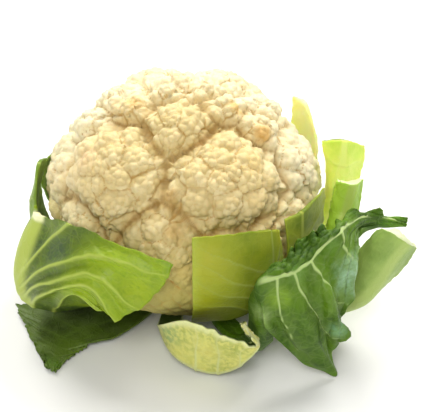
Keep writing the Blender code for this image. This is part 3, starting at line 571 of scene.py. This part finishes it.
def buds(points, normals, nearest, floret_centres):
    """Fall between the buds that cover each floret, nearness of their creases, and a tone for each bud."""
    fall, crease, tone = np.zeros((3, len(points)))
    rng = np.random.default_rng(SEED + 2)
    order = np.argsort(nearest, kind="stable")
    ends = np.searchsorted(nearest[order], np.arange(len(floret_centres) + 1))
    j = np.arange(BUDS_PER_FLORET)
    reach = BUD_FIRST * (j + SPIRAL_START) ** BUD_SPREAD
    sizes = growth(BUD_FIRST, BUD_SPREAD) * (j + SPIRAL_SIZE_START) ** (BUD_SPREAD - 0.5)
    for k, middle in enumerate(floret_centres):
        inside = order[ends[k]:ends[k + 1]]
        start = rng.uniform(0.0, TURN)
        angle = start + j * GOLDEN_ANGLE + rng.uniform(-BUD_STRAY, BUD_STRAY, len(j))
        size = sizes * rng.uniform(*BUD_SIZES, len(j))
        shade = rng.uniform(0.0, 1.0, len(j))
        stretch = rng.uniform(*BUD_STRETCH)
        if len(inside) < 3:
            continue
        axis = unit(normals[inside].sum(0))
        side = unit(np.cross(axis, ASIDE))
        spot = (points[inside] - middle) @ np.stack([side, np.cross(axis, side), axis], 1)
        centres = stretch * reach[:, None] * np.stack([np.cos(angle), np.sin(angle)], 1)
        beside = norm(spot[:, None, :2] - centres[None], axis=2)
        centres = np.concatenate([centres, spot[np.argmin(beside, axis=0), 2:]], 1)
        ratio = norm(spot[:, None] - centres[None], axis=2) / size
        first, second = two_least(ratio)
        bud = np.argmin(ratio, axis=1)
        fall[inside] = BUD_DEPTH * size[bud] * dome(first, second, BUD_ROUND)
        crease[inside] = 1.0 - smooth_step((second - first) / BUD_CREASE)
        tone[inside] = shade[bud]
    return fall, crease, tone


def underside(points):
    """Fall between the small florets of the curd's underside, and nearness of their creases."""
    spots = spiral(UNDER_COUNT)
    spots = spots[spots[:, 2] < math.sin(UNDER_HIGHEST)]
    centres = HEART + spots * (envelope(spots) - SMOOTH_FALL)[:, None]
    sizes = np.random.default_rng(SEED + 3).uniform(*UNDER_SIZES, len(spots))
    _, share, next_share = two_nearest(points, centres, sizes)
    even = share / (share + next_share)
    return UNDER_DEPTH * dome(share, next_share, FLORET_ROUND), smooth_step(even, *UNDER_CREASE)


def cube_sphere(n):
    """Unit vectors in six square patches that share their edges, and quads that face outwards."""
    i, j = np.meshgrid(np.arange(n + 1), np.arange(n + 1), indexing="ij")
    low = np.zeros_like(i)
    high = np.full_like(i, n)
    patches = [(i, j, high), (j, i, low), (high, i, j), (low, j, i), (j, high, i), (i, low, j)]
    codes = [(a * (n + 1) + b) * (n + 1) + c for a, b, c in patches]
    keys, spot = np.unique(np.concatenate([c.ravel() for c in codes]), return_inverse=True)
    lattice = np.stack([keys // (n + 1) ** 2, keys // (n + 1) % (n + 1), keys % (n + 1)], 1)
    dirs = unit(np.tan((lattice / n * 2.0 - 1.0) * math.pi / 4.0))
    quads = []
    for grid in spot.reshape(6, n + 1, n + 1):
        around = [grid[:-1, :-1], grid[1:, :-1], grid[1:, 1:], grid[:-1, 1:]]
        quads.append(np.stack(around, -1).reshape(-1, 4))
    return dirs, np.concatenate(quads)


def spline(a, b, c, d, f):
    """The smooth curve through a, b, c and d, at the share f of the way from b to c."""
    cubic = (2 * a - 5 * b + 4 * c - d) * f**2 + (3 * b - a - 3 * c + d) * f**3
    return 0.5 * (2 * b + (c - a) * f + cubic)


def with_ends(values):
    """Values with one more at each end, in line with the last two."""
    return np.concatenate([[2 * values[0] - values[1]], values, [2 * values[-1] - values[-2]]])


def through(values, t):
    """A smooth curve through evenly spaced values, at the parameters t from 0 to 1."""
    v = np.asarray(values, float)
    n = len(v) - 1
    x = np.clip(np.asarray(t, float) * n, 0, n)
    i = np.minimum(x.astype(int), n - 1)
    f = (x - i).reshape(*np.shape(t), *[1] * (v.ndim - 1))
    e = with_ends(v)
    return spline(e[i], e[i + 1], e[i + 2], e[i + 3], f)


def clear_of_curd(points, gap):
    """Points moved out until they are gap millimetres off the curd's envelope."""
    size = np.array([CURD_RADIUS, CURD_RADIUS, CURD_HALF_HEIGHT]) + np.asarray(gap)[..., None]
    q = (points - HEART) / size
    r = norm(q, axis=-1, keepdims=True)
    pushed = 0.5 * (r + 1.0 + np.sqrt((r - 1.0) ** 2 + 0.0004))
    beside = points[..., 2:3] > CURD_UNDERSIDE - 0.4
    return np.where(beside, HEART + q / r * pushed * size, points)


def clear_of_stem(points):
    """Points at the stem's height moved out to its side."""
    r = norm(points[..., :2], axis=-1, keepdims=True)
    least = np.where(points[..., 2:3] < CURD_UNDERSIDE, STEM_RADIUS + CLEAR, 0.0)
    scale = np.maximum(r, least) / np.maximum(r, 1e-6)
    return np.concatenate([points[..., :2] * scale, points[..., 2:3]], -1)


def grid_normals(points):
    """Outward normals of a leaf's middle surface."""
    along = np.gradient(points, axis=0)
    across = np.gradient(points, axis=1)
    return unit(np.cross(across, along))


def wander(t, rng, waves):
    """A smooth seeded wobble between -1 and 1."""
    total = np.zeros(np.shape(t))
    for wave in waves:
        total += np.sin(TURN * (wave * t + rng.uniform())) * rng.uniform(0.6, 1.0)
    return total / len(waves)


def leaf_middle(leaf, look, rows, columns, rng):
    """Place of each row from root to tip, and the ragged, torn surface through a leaf's rails."""
    root = np.linspace(0.0, ROOT_SHARE, ROOT_ROWS, endpoint=False)
    t = np.concatenate([root, np.linspace(ROOT_SHARE, 1.0, rows - ROOT_ROWS)])[:, None]
    u = np.linspace(0.0, 1.0, columns)[None, :]
    trim = 1.0 - look["ragged"] * (1.0 + wander(t, rng, MARGIN_WAVES)) * smooth_step(t, ROOT_SHARE, 0.2)
    share = 0.5 + (u - 0.5) * trim
    end = 1.0 - look["torn"] * (1.0 + wander(u, rng, END_WAVES))
    length = t * (1.0 + (end - 1.0) * smooth_step(t, 0.5, 0.5))
    rails = np.stack([through(rail, length) for rail in leaf["rails"]])
    gaps = len(rails) - 1
    x = share * gaps
    k = np.clip(x.astype(int), 0, gaps - 1)
    i, j = np.indices(x.shape)
    padded = with_ends(rails)
    return t, spline(*(padded[k + step, i, j] for step in range(4)), (x - k)[..., None])


def beside_rib(middle, rib_column):
    """How far each point is from the rib in millimetres, and as a share of the way to the margin."""
    steps = norm(np.diff(middle, axis=1), axis=-1)
    travelled = np.concatenate([np.zeros((len(middle), 1)), np.cumsum(steps, axis=1)], 1)
    at_rib = travelled[:, rib_column:rib_column + 1]
    from_rib = travelled - at_rib
    reach = np.where(from_rib < 0, at_rib, travelled[:, -1:] - at_rib)
    return from_rib, from_rib / np.maximum(reach, 1e-6)


def waved(middle, leaf, look, t, across, blade, rng):
    """A leaf's middle surface with its ruffles, frilled margin, crimps and puckers."""
    normal = grid_normals(middle)
    if "ruffle" in leaf:
        height, waves = leaf["ruffle"]
        wave = np.sin(TURN * waves * t + 1.7 * across) * across**2
        middle = middle + normal * (height * wave * smooth_step(t, 0.25, 0.2))[..., None]
    if "frill" in look:
        height, waves = look["frill"]
        curl = np.sin(TURN * (waves * t + 0.4 * wander(t, rng, FRILL_WAVES))) * (across < 0)
        middle = middle + normal * (height * curl * across**2 * smooth_step(t, 0.4, 0.2))[..., None]
    crimps = wander(t + 0.15 * across, rng, CRIMP_WAVES) * blade**2
    middle = middle + normal * (look["crimp"] * crimps)[..., None]
    if "pucker" in look:
        side_cells, long_cells = PUCKER_CELLS
        stray = 0.35 * wander(t, rng, PUCKER_WAVES)
        pucker = np.sin(TURN * (side_cells * across + stray))
        pucker = pucker * np.sin(TURN * (long_cells * t + across))
        middle = middle + normal * (look["pucker"] * pucker * smooth_step(blade / 0.2))[..., None]
    return middle


def side_veins(look, middle, t, across, from_rib):
    """Nearness of each point to the side veins, and to the wider folds that they run along."""
    spacing = norm(np.gradient(middle, axis=0), axis=-1) / np.gradient(t, axis=0)
    vein = np.zeros_like(from_rib)
    quilt = np.zeros_like(from_rib)
    for at_rib, at_margin, *only in look["veins"]:
        for side in only or (-1.0, 1.0):
            out = np.maximum(across * side, 0.0)
            here = across * side > 0
            path = at_rib + (at_margin - at_rib) * out ** look["bend"]
            path = path + VEIN_SWAY * np.sin(9.0 * out + 20.0 * at_rib) * out
            if "hump" in look:
                height, place, breadth = look["hump"]
                path = path + height * np.exp(-(((out - place) / breadth) ** 2))
            slope = np.gradient(path, axis=1) / np.gradient(from_rib, axis=1) * spacing
            aslant = spacing / np.sqrt(1.0 + slope**2)
            width = (VEIN_FINE + VEIN_TAPER * (1.0 - out)) * look["wide"]
            for fork, strength in ((0.0, 1.0), (VEIN_FORK, 0.6)):
                split = path - fork * np.maximum(out - FORK_FROM, 0.0)
                gap = np.abs(t - split) * aslant
                line = np.exp(-((gap / width) ** 2)) * here * (1.0 - 0.45 * out)
                vein = np.maximum(vein, line * strength)
            gap = np.abs(t - path) * aslant
            quilt = np.maximum(quilt, np.exp(-((gap / look["fold"]) ** 2)) * here)
    return vein, quilt


def two_faces(outer, inner):
    """Vertices and quads of a closed leaf between two surfaces, and which quads are its cut end."""
    layers = []
    for layer in (outer, inner):
        layer = clear_of_stem(clear_of_curd(layer, np.full(layer.shape[:2], CLEAR)))
        layer[..., 2] = np.maximum(layer[..., 2], FLOOR_CLEAR)
        layer = np.clip(layer, *(np.array(corner) / MM for corner in cad_box))
        layers.append(layer.reshape(-1, 3))
    count = len(layers[0])
    index = np.arange(count).reshape(outer.shape[:2])
    face = np.stack([index[:-1, :-1], index[:-1, 1:], index[1:, 1:], index[1:, :-1]], -1).reshape(-1, 4)
    ring = np.concatenate([index[0, :], index[1:, -1], index[-1, -2::-1], index[-2:0:-1, 0]])
    following = np.roll(ring, -1)
    wall = np.stack([following, ring, ring + count, following + count], 1)
    is_end = np.isin(ring, index[-1]) & np.isin(following, index[-1])
    cut = np.concatenate([np.zeros(2 * len(face), dtype=int), is_end.astype(int)])
    return np.concatenate(layers), np.concatenate([face, face[:, ::-1] + count, wall]), cut


def leaf_arrays(name, leaf, look):
    """Vertices, quads, which quads are the cut end, and point attributes of a fine leaf."""
    rng = np.random.default_rng(SEED + sum(ord(c) for c in name))
    rows, columns = LARGE_GRID if name in LARGE else SMALL_GRID
    t, middle = leaf_middle(leaf, look, rows, columns, rng)
    from_rib, across = beside_rib(middle, int(round(leaf["rib"] / (len(leaf["rails"]) - 1) * (columns - 1))))
    bulge = through(leaf["rib_half"], t) * np.exp(-((from_rib / leaf.get("side", RIB_SIDE)) ** 2))
    blade = np.abs(across) * smooth_step(t, ROOT_SHARE, 0.25)
    middle = waved(middle, leaf, look, t, across, blade, rng)
    vein, quilt = side_veins(look, middle, t, across, from_rib)
    under = BLADE_HALF + leaf.get("thick", RIB_UNDER) * bulge
    if "hug" in leaf:
        middle = clear_of_curd(middle, leaf["hug"] + under)
    normal = grid_normals(middle)
    if look["veins"]:
        quilting = 0.5 * look["quilt"] * quilt * np.minimum(1.0, look["rise"] * blade)
        middle = middle + normal * (quilting - 0.25)[..., None]
    vertices, quads, cut = two_faces(middle + normal * (BLADE_HALF + bulge + VEIN_RISE * vein)[..., None],
                                     middle - normal * (under + 0.3 * VEIN_RISE * vein)[..., None])
    rib_width = look["rib_wide"] * (1.25 - 0.75 * t)
    rib = np.exp(-(((from_rib - look["rib_at"]) / rib_width) ** 2))
    flat = {"vein": vein, "rib": rib * smooth_step(t, look["rib_from"], 0.08), "margin": np.abs(across),
            "along": np.broadcast_to(t, vein.shape), "from_rib": from_rib * 0.1, "quilt": quilt}
    attributes = {key: np.tile(np.ravel(value), 2) for key, value in flat.items()}
    attributes["inner_face"] = np.repeat([0.0, 1.0], vein.size)
    return vertices, quads, cut, attributes


def back_leaves():
    """The leaves that the photograph can't show: rails at the margins and midrib of each."""
    leaves = {}
    for ring in BACK_RINGS:
        for name, (azimuth, share) in ring["leaves"].items():
            heights = [ring["root"]] * 2 + [ring["foot"] + rise * share for rise in ring["rises"]]
            rails = []
            for side in (-1.0, 0.0, 1.0):
                angles = [math.radians(azimuth + side * spread) for spread in ring["spreads"]]
                rails.append([(r * math.cos(a), r * math.sin(a), h)
                              for r, a, h in zip(ring["radii"], angles, heights)])
            x, y, z = rails[1][-1]
            rails[1][-1] = (x, y, z + TIP_RISE)
            leaves[name] = dict(ring, rails=rails, rib=1)
    return leaves


def add_object(name, data):
    made = bpy.data.objects.new(name, data)
    scene.collection.objects.link(made)
    return made


def mesh_piece(name, vertices, faces, materials, attributes, face_materials=None):
    """A smooth mesh object in metres from arrays of quads, with point attributes."""
    mesh = bpy.data.meshes.new(name)
    mesh.from_pydata((vertices * MM).tolist(), [], faces.tolist())
    if face_materials is not None:
        mesh.polygons.foreach_set("material_index", face_materials)
    mesh.validate()
    for key, values in attributes.items():
        layer = mesh.attributes.new(key, "FLOAT", "POINT")
        layer.data.foreach_set("value", np.asarray(values, dtype=np.float32).ravel())
    for material in materials:
        mesh.materials.append(material)
    mesh.shade_smooth()
    return add_object(name, mesh)


class Nodes:
    """Short ways to add shader nodes to a material."""

    def __init__(self, name):
        self.material = bpy.data.materials.new(name)
        self.material.use_nodes = True
        self.tree = self.material.node_tree
        self.shader = self.tree.nodes["Principled BSDF"]

    def put(self, socket, value):
        if isinstance(value, bpy.types.NodeSocket):
            self.tree.links.new(value, socket)
        else:
            socket.default_value = (*value, 1.0) if socket.type == "RGBA" else value

    def node(self, kind, output, inputs, **settings):
        """An output of a new node, whose inputs are given by number or name."""
        made = self.tree.nodes.new("ShaderNode" + kind)
        for key, value in settings.items():
            setattr(made, key, value)
        for key, value in inputs.items():
            self.put(made.inputs[key], value)
        return made.outputs[output]

    def place(self):
        return self.node("TexCoord", "Object", {})

    def attribute(self, name):
        return self.node("Attribute", "Fac", {}, attribute_name=name)

    def math(self, operation, a, b=0.0):
        return self.node("Math", 0, {0: a, 1: b}, operation=operation)

    def add(self, a, b):
        return self.math("ADD", a, b)

    def times(self, a, b):
        return self.math("MULTIPLY", a, b)

    def vector(self, operation, a, b=(0.0, 0.0, 0.0), output="Vector"):
        return self.node("VectorMath", output, {0: a, 1: b}, operation=operation)

    def mix(self, factor, a, b):
        return self.node("Mix", 2, {0: factor, 6: a, 7: b}, data_type="RGBA")

    def ramp(self, value, low, high, to_low=0.0, to_high=1.0):
        inputs = dict(enumerate((value, low, high, to_low, to_high)))
        return self.node("MapRange", 0, inputs, interpolation_type="SMOOTHSTEP")

    def noise(self, vector, scale, detail=2.0, roughness=0.5, output="Fac"):
        inputs = {"Vector": vector, "Scale": scale, "Detail": detail, "Roughness": roughness}
        return self.node("TexNoise", output, inputs)

    def cells(self, vector, scale, feature="F1"):
        return self.node("TexVoronoi", "Distance", {"Vector": vector, "Scale": scale}, feature=feature)

    def tint(self, mask, colour, strength=None):
        """A colour laid over the colour so far where the mask is 1."""
        factor = mask if strength is None else self.times(mask, strength)
        self.colour = self.mix(factor, self.colour, colour)

    def stain_and_light_patch(self, place, spot, radius, strength, colour):
        """A soft-edged ragged patch round a spot, both in millimetres, for stains and for painted light and
        shade.
        """
        apart = self.vector("DISTANCE", place, tuple(MM * c for c in spot), "Value")
        wobble = self.times(self.noise(place, 130.0, 4.0, 0.65), 0.9 * MM * radius)
        mask = self.ramp(self.add(apart, wobble), 0.7 * MM * radius, 1.45 * MM * radius, strength, 0.0)
        self.tint(mask, colour)

    def set(self, **inputs):
        for key, value in inputs.items():
            self.put(self.shader.inputs[key.replace("_", " ")], value)

    def finished(self, roughness, soft, relief, gloss=0.5):
        """The material with its colour so far. "soft" is how much light enters, how far each of its
        colours, and its depth in metres. "relief" is the height, strength and distance of bumps."""
        share, reach, depth = soft
        bumps = self.node("Bump", 0, dict(zip(("Height", "Strength", "Distance"), relief)))
        self.set(Base_Color=self.colour, Roughness=roughness, Specular_IOR_Level=gloss, Normal=bumps,
                 Subsurface_Weight=share, Subsurface_Radius=reach, Subsurface_Scale=depth)
        return self.material


def curd_material():
    n = Nodes("curd")
    place = n.place()
    uneven = n.noise(place, 55.0, 2.0)
    height = n.node("SeparateXYZ", "Z", {0: place})
    n.colour = n.mix(n.attribute("tone"), CREAM_DARK, CREAM_LIGHT)
    # Painted light: the top and sides, which face away from the front, are painted paler as if lit from
    # behind
    outwards = n.vector("NORMALIZE", n.vector("SUBTRACT", place, tuple(HEART * MM)))
    towards = n.vector("DOT_PRODUCT", outwards, PAINTED_LIGHT_AWAY_FROM, "Value")
    n.tint(n.ramp(towards, *PAINTED_LIGHT_RANGE, 0.0, 0.80), CREAM_PAINTED_LIGHT)
    n.tint(n.ramp(n.noise(place, 24.0, 3.0), 0.42, 0.70), WARM_PATCH, 0.35)
    # Stains, and at the front patches of painted shade
    for stain_and_light_patch in CURD_STAINS_AND_SHADE:
        n.stain_and_light_patch(place, *stain_and_light_patch)
    # Painted shade at the foot: darker and more olive towards the bottom, with a painted green bounce from
    # the leaves
    n.tint(n.ramp(height, *SHADE_HEIGHTS, 0.0, 0.85), FOOT_PAINTED_SHADE)
    # Painted shade on the curd's smooth underside
    n.tint(n.attribute("low"), UNDERSIDE_PAINTED_SHADE, 0.75)
    # Painted shade in the creases between buds and between florets, warm brown
    n.tint(n.ramp(n.attribute("bud_crease"), 0.35, 1.0), BUD_CREASE_SHADE, 0.45)
    floret_crease = n.ramp(n.attribute("floret_crease"), 0.30, 1.0)
    n.tint(floret_crease, FLORET_CREASE_SHADE, n.ramp(uneven, 0.3, 0.7, 0.40, 0.85))
    # Painted shade: darker towards the valleys between lobes, and a dark line where the lobes meet
    valley = n.attribute("valley")
    n.tint(n.ramp(valley, 0.50, 1.0, 0.0, 0.42), VALLEY_SHADE)
    n.tint(n.ramp(valley, 0.84, 1.0), VALLEY_LINE_SHADE, n.ramp(uneven, 0.3, 0.7, 0.40, 0.90))
    relief = n.add(n.times(n.cells(place, 1150.0), -0.7), n.times(n.noise(place, 2300.0), 0.5))
    return n.finished(0.62, (0.20, (1.0, 0.65, 0.3), 0.0018), (relief, 0.6, 0.0004), gloss=0.35)


def leaf_material(name, look):
    n = Nodes(name)
    place = n.place()
    along = n.attribute("along")
    rib = n.attribute("rib")
    margin = n.attribute("margin")
    blotch = n.ramp(n.noise(place, 42.0, 4.0, 0.6), 0.32, 0.68)
    if "zone" in look:
        blotch = n.add(n.times(n.ramp(margin, *look["zone"]), 0.65), n.times(blotch, 0.35))
    n.colour = n.mix(blotch, look["deep"], look["fresh"])
    # Stains, and on some leaves patches of painted shade and painted highlights
    for stain_and_light_patch in look["stains_and_painted_light"]:
        n.stain_and_light_patch(place, *stain_and_light_patch)
    if "mottle" in look:
        scale, strength, colour = look["mottle"]
        n.tint(n.ramp(n.noise(place, scale, 3.0, 0.6), 0.42, 0.62, 0.0, strength), colour)
    pale = tuple(0.45 * a + 0.55 * b for a, b in zip(look["fresh"], look["rib"]))
    # Painted highlight: the ridges of the folds along the veins are painted lighter
    n.tint(n.attribute("quilt"), pale, look["fold_highlight"])
    across_scale, along_scale, strength, colour = look["streaks"]
    fibre_place = {"X": n.times(n.attribute("from_rib"), across_scale), "Y": n.times(along, along_scale)}
    fibre = n.noise(n.node("CombineXYZ", 0, fibre_place), 1.0, 3.0, 0.6)
    n.tint(n.ramp(fibre, 0.42, 0.75, 0.0, strength), colour or look["fresh"])
    warp = n.noise(place, 120.0, 1.0, output="Color")
    moved = n.node("Mix", 1, {0: 0.006, 4: place, 5: warp}, data_type="VECTOR")
    net = n.ramp(n.cells(moved, 150.0, "DISTANCE_TO_EDGE"), 0.015, 0.10, 1.0, 0.0)
    fine = n.ramp(n.cells(moved, 460.0, "DISTANCE_TO_EDGE"), 0.0, 0.12, 1.0, 0.0)
    n.tint(net, pale, look["net"])
    n.tint(fine, pale, 0.35 * look["net"])
    n.tint(n.ramp(n.attribute("vein"), 0.15, 0.85), look["rib"], 0.85)
    n.tint(n.ramp(rib, 0.25, 0.85), look["rib"], 0.95)
    start, strength, colour = look["edge"]
    n.tint(n.ramp(margin, start, 1.0), colour or look["fresh"], strength)
    if "cap" in look:
        n.tint(n.ramp(along, 0.945, 0.985), look["cap"], n.ramp(rib, 0.2, 0.7))
    # Painted shade: the inner face is darkened where "inside" is given
    if "inside" in look:
        n.tint(n.attribute("inner_face"), look["inside"])
    cell_height = n.times(n.add(net, n.times(fine, 0.4)), 0.5)
    grain_height = n.add(n.times(fibre, 0.6), n.times(n.noise(place, 1500.0), 0.25))
    return n.finished(n.ramp(blotch, 0.0, 1.0, 0.50, 0.38), (look["through"], (0.7, 1.0, 0.25), 0.0022),
                      (n.add(cell_height, grain_height), 0.5, 0.0004), look["gloss"])


def cut_material(name, tint):
    n = Nodes(name)
    place = n.place()
    dots = n.ramp(n.cells(place, 420.0), 0.10, 0.30, 1.0, 0.0)
    pale = tuple(min(1.0, 1.12 * c) for c in tint)
    n.colour = n.mix(n.ramp(n.noise(place, 160.0, 3.0), 0.35, 0.7), tint, pale)
    n.tint(dots, CUT_DOTS, 0.35)
    height = n.add(dots, n.noise(place, 900.0))
    return n.finished(0.42, (0.4, (0.9, 1.0, 0.5), 0.003), (height, 0.4, 0.0003))


def stem_material():
    n = Nodes("stem")
    place = n.place()
    flat = n.node("CombineXYZ", 0, {axis: n.node("SeparateXYZ", axis, {0: place}) for axis in "XY"})
    radius = n.add(n.vector("LENGTH", flat, output="Value"), n.times(n.noise(place, 90.0, 3.0), 0.004))
    ring = n.ramp(n.math("ABSOLUTE", n.math("SUBTRACT", radius, STEM_RING)), 0.0, 0.0035, 1.0, 0.0)
    dots = n.ramp(n.cells(place, 330.0), 0.1, 0.35, 1.0, 0.0)
    n.colour = n.mix(n.ramp(n.noise(place, 60.0, 4.0), 0.3, 0.7), *STEM_FLESH)
    n.tint(ring, STEM_RING_TINT, 0.6)
    n.tint(n.times(dots, ring), STEM_DOT_TINT, 0.5)
    height = n.add(n.noise(place, 700.0, 3.0), n.times(ring, 0.6))
    return n.finished(0.55, (0.3, (0.9, 1.0, 0.5), 0.003), (height, 0.5, 0.0006))


def make_curd():
    lobes = all_lobes()
    floret_dirs, floret_radii, floret_rims = florets(lobes)
    even, quads = cube_sphere(GRID)
    d = unit(even + DENSITY * unit(DENSE_TOWARDS))
    relief = relief_share(d)
    share, next_share = two_least(surface_distance(d, lobes[0]) / lobes[1])
    points = curd_base(d, lobes)
    normals = unit(SWELL * mesh_normals(points, quads) + (1.0 - SWELL) * d)
    centres = curd_base(floret_dirs, lobes)
    nearest, ratio, next_ratio = two_nearest(points, centres, floret_radii)
    depth = FLORET_DEPTH * floret_radii * (FLORET_CALM + (1.0 - FLORET_CALM) * floret_rims)
    fall = depth[nearest] * dome(ratio, next_ratio, FLORET_ROUND) * relief
    points = points - normals * fall[:, None]
    normals = mesh_normals(points, quads)
    bud_fall, bud_crease, bud_tone = buds(points, normals, nearest, centres)
    grain = (1.0 - (1.0 - BUD_CALM) * floret_rims[nearest]) * relief
    under_fall, under_crease = underside(points)
    points = points - normals * (bud_fall * grain + under_fall * (1.0 - relief))[:, None]
    points[:, 2] = np.maximum(points[:, 2], CURD_UNDERSIDE)
    points = np.clip(points, *(np.array(corner) / MM for corner in cad_box))
    floret_crease = 1.0 - smooth_step((next_ratio - ratio) / FLORET_CREASE)
    # Masks for the material: nearness of valleys and creases and the underside, where it paints shade, and
    # each bud's tone
    attributes = {
        "valley": np.clip(1.0 - (next_share - share) / VALLEY_WIDTH, 0.0, 1.0) * relief,
        "floret_crease": floret_crease * relief + under_crease * (1.0 - relief),
        "bud_crease": bud_crease * grain,
        "tone": bud_tone,
        "low": 1.0 - relief,
    }
    piece = mesh_piece("curd_fine", points, quads, [curd_material()], attributes)
    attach(piece, BODY)
    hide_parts("curd")


def make_leaves():
    for name, leaf in {**LEAVES, **back_leaves()}.items():
        look = {**BASE_LOOK, **LOOKS.get(name, PLAIN_LOOK)}
        vertices, quads, cut, attributes = leaf_arrays(name, leaf, look)
        materials = [leaf_material(name, look)]
        if "cut" in look:
            tint = tuple(0.5 * c + 0.5 * p for c, p in zip(look["rib"], CUT_PALE))
            materials.append(cut_material(name + "_cut", tint))
        else:
            cut = None
        piece = mesh_piece(name + "_fine", vertices, quads, materials, attributes, cut)
        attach(piece, BODY)
        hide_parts(name)


def make_stage():
    mesh = bpy.data.meshes.new("floor")
    corners = [(x * FLOOR_SIZE, y * FLOOR_SIZE, 0) for x, y in ((-1, -1), (1, -1), (1, 1), (-1, 1))]
    mesh.from_pydata(corners, [], [(0, 1, 2, 3)])
    n = Nodes("floor")
    n.set(Base_Color=FLOOR_COLOUR, Roughness=0.75, Specular_IOR_Level=0.2)
    mesh.materials.append(n.material)
    floor = add_object("floor", mesh)


def make_lights():
    world = bpy.data.worlds.new("studio")
    scene.world = world
    world.use_nodes = True
    background = world.node_tree.nodes["Background"]
    background.inputs["Color"].default_value = (1.0, 1.0, 1.0, 1.0)
    background.inputs["Strength"].default_value = WORLD_STRENGTH
    for name, (place, size, power) in LAMPS.items():
        data = bpy.data.lights.new(name, "AREA")
        data.shape = "DISK"
        data.size = size
        data.energy = power
        data.color = LAMP_COLOUR
        lamp = add_object(name, data)
        lamp.location = place
        lamp.rotation_euler = (CAMERA_TARGET - Vector(place)).to_track_quat("-Z", "Y").to_euler()
    scene.view_settings.view_transform = "Standard"


def make_camera():
    data = bpy.data.cameras.new("camera")
    data.sensor_width = SENSOR
    data.lens = SENSOR * FOCAL_PIXELS / IMAGE_WIDTH
    camera = add_object("camera", data)
    back = Vector((0.0, -math.cos(CAMERA_ELEVATION), math.sin(CAMERA_ELEVATION)))
    camera.location = CAMERA_TARGET + CAMERA_DISTANCE * back
    camera.rotation_euler = (-back).to_track_quat("-Z", "Y").to_euler()
    scene.camera = camera


make_camera()
make_lights()
make_stage()
make_curd()
make_leaves()
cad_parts["stem"].material_slots[0].material = stem_material()
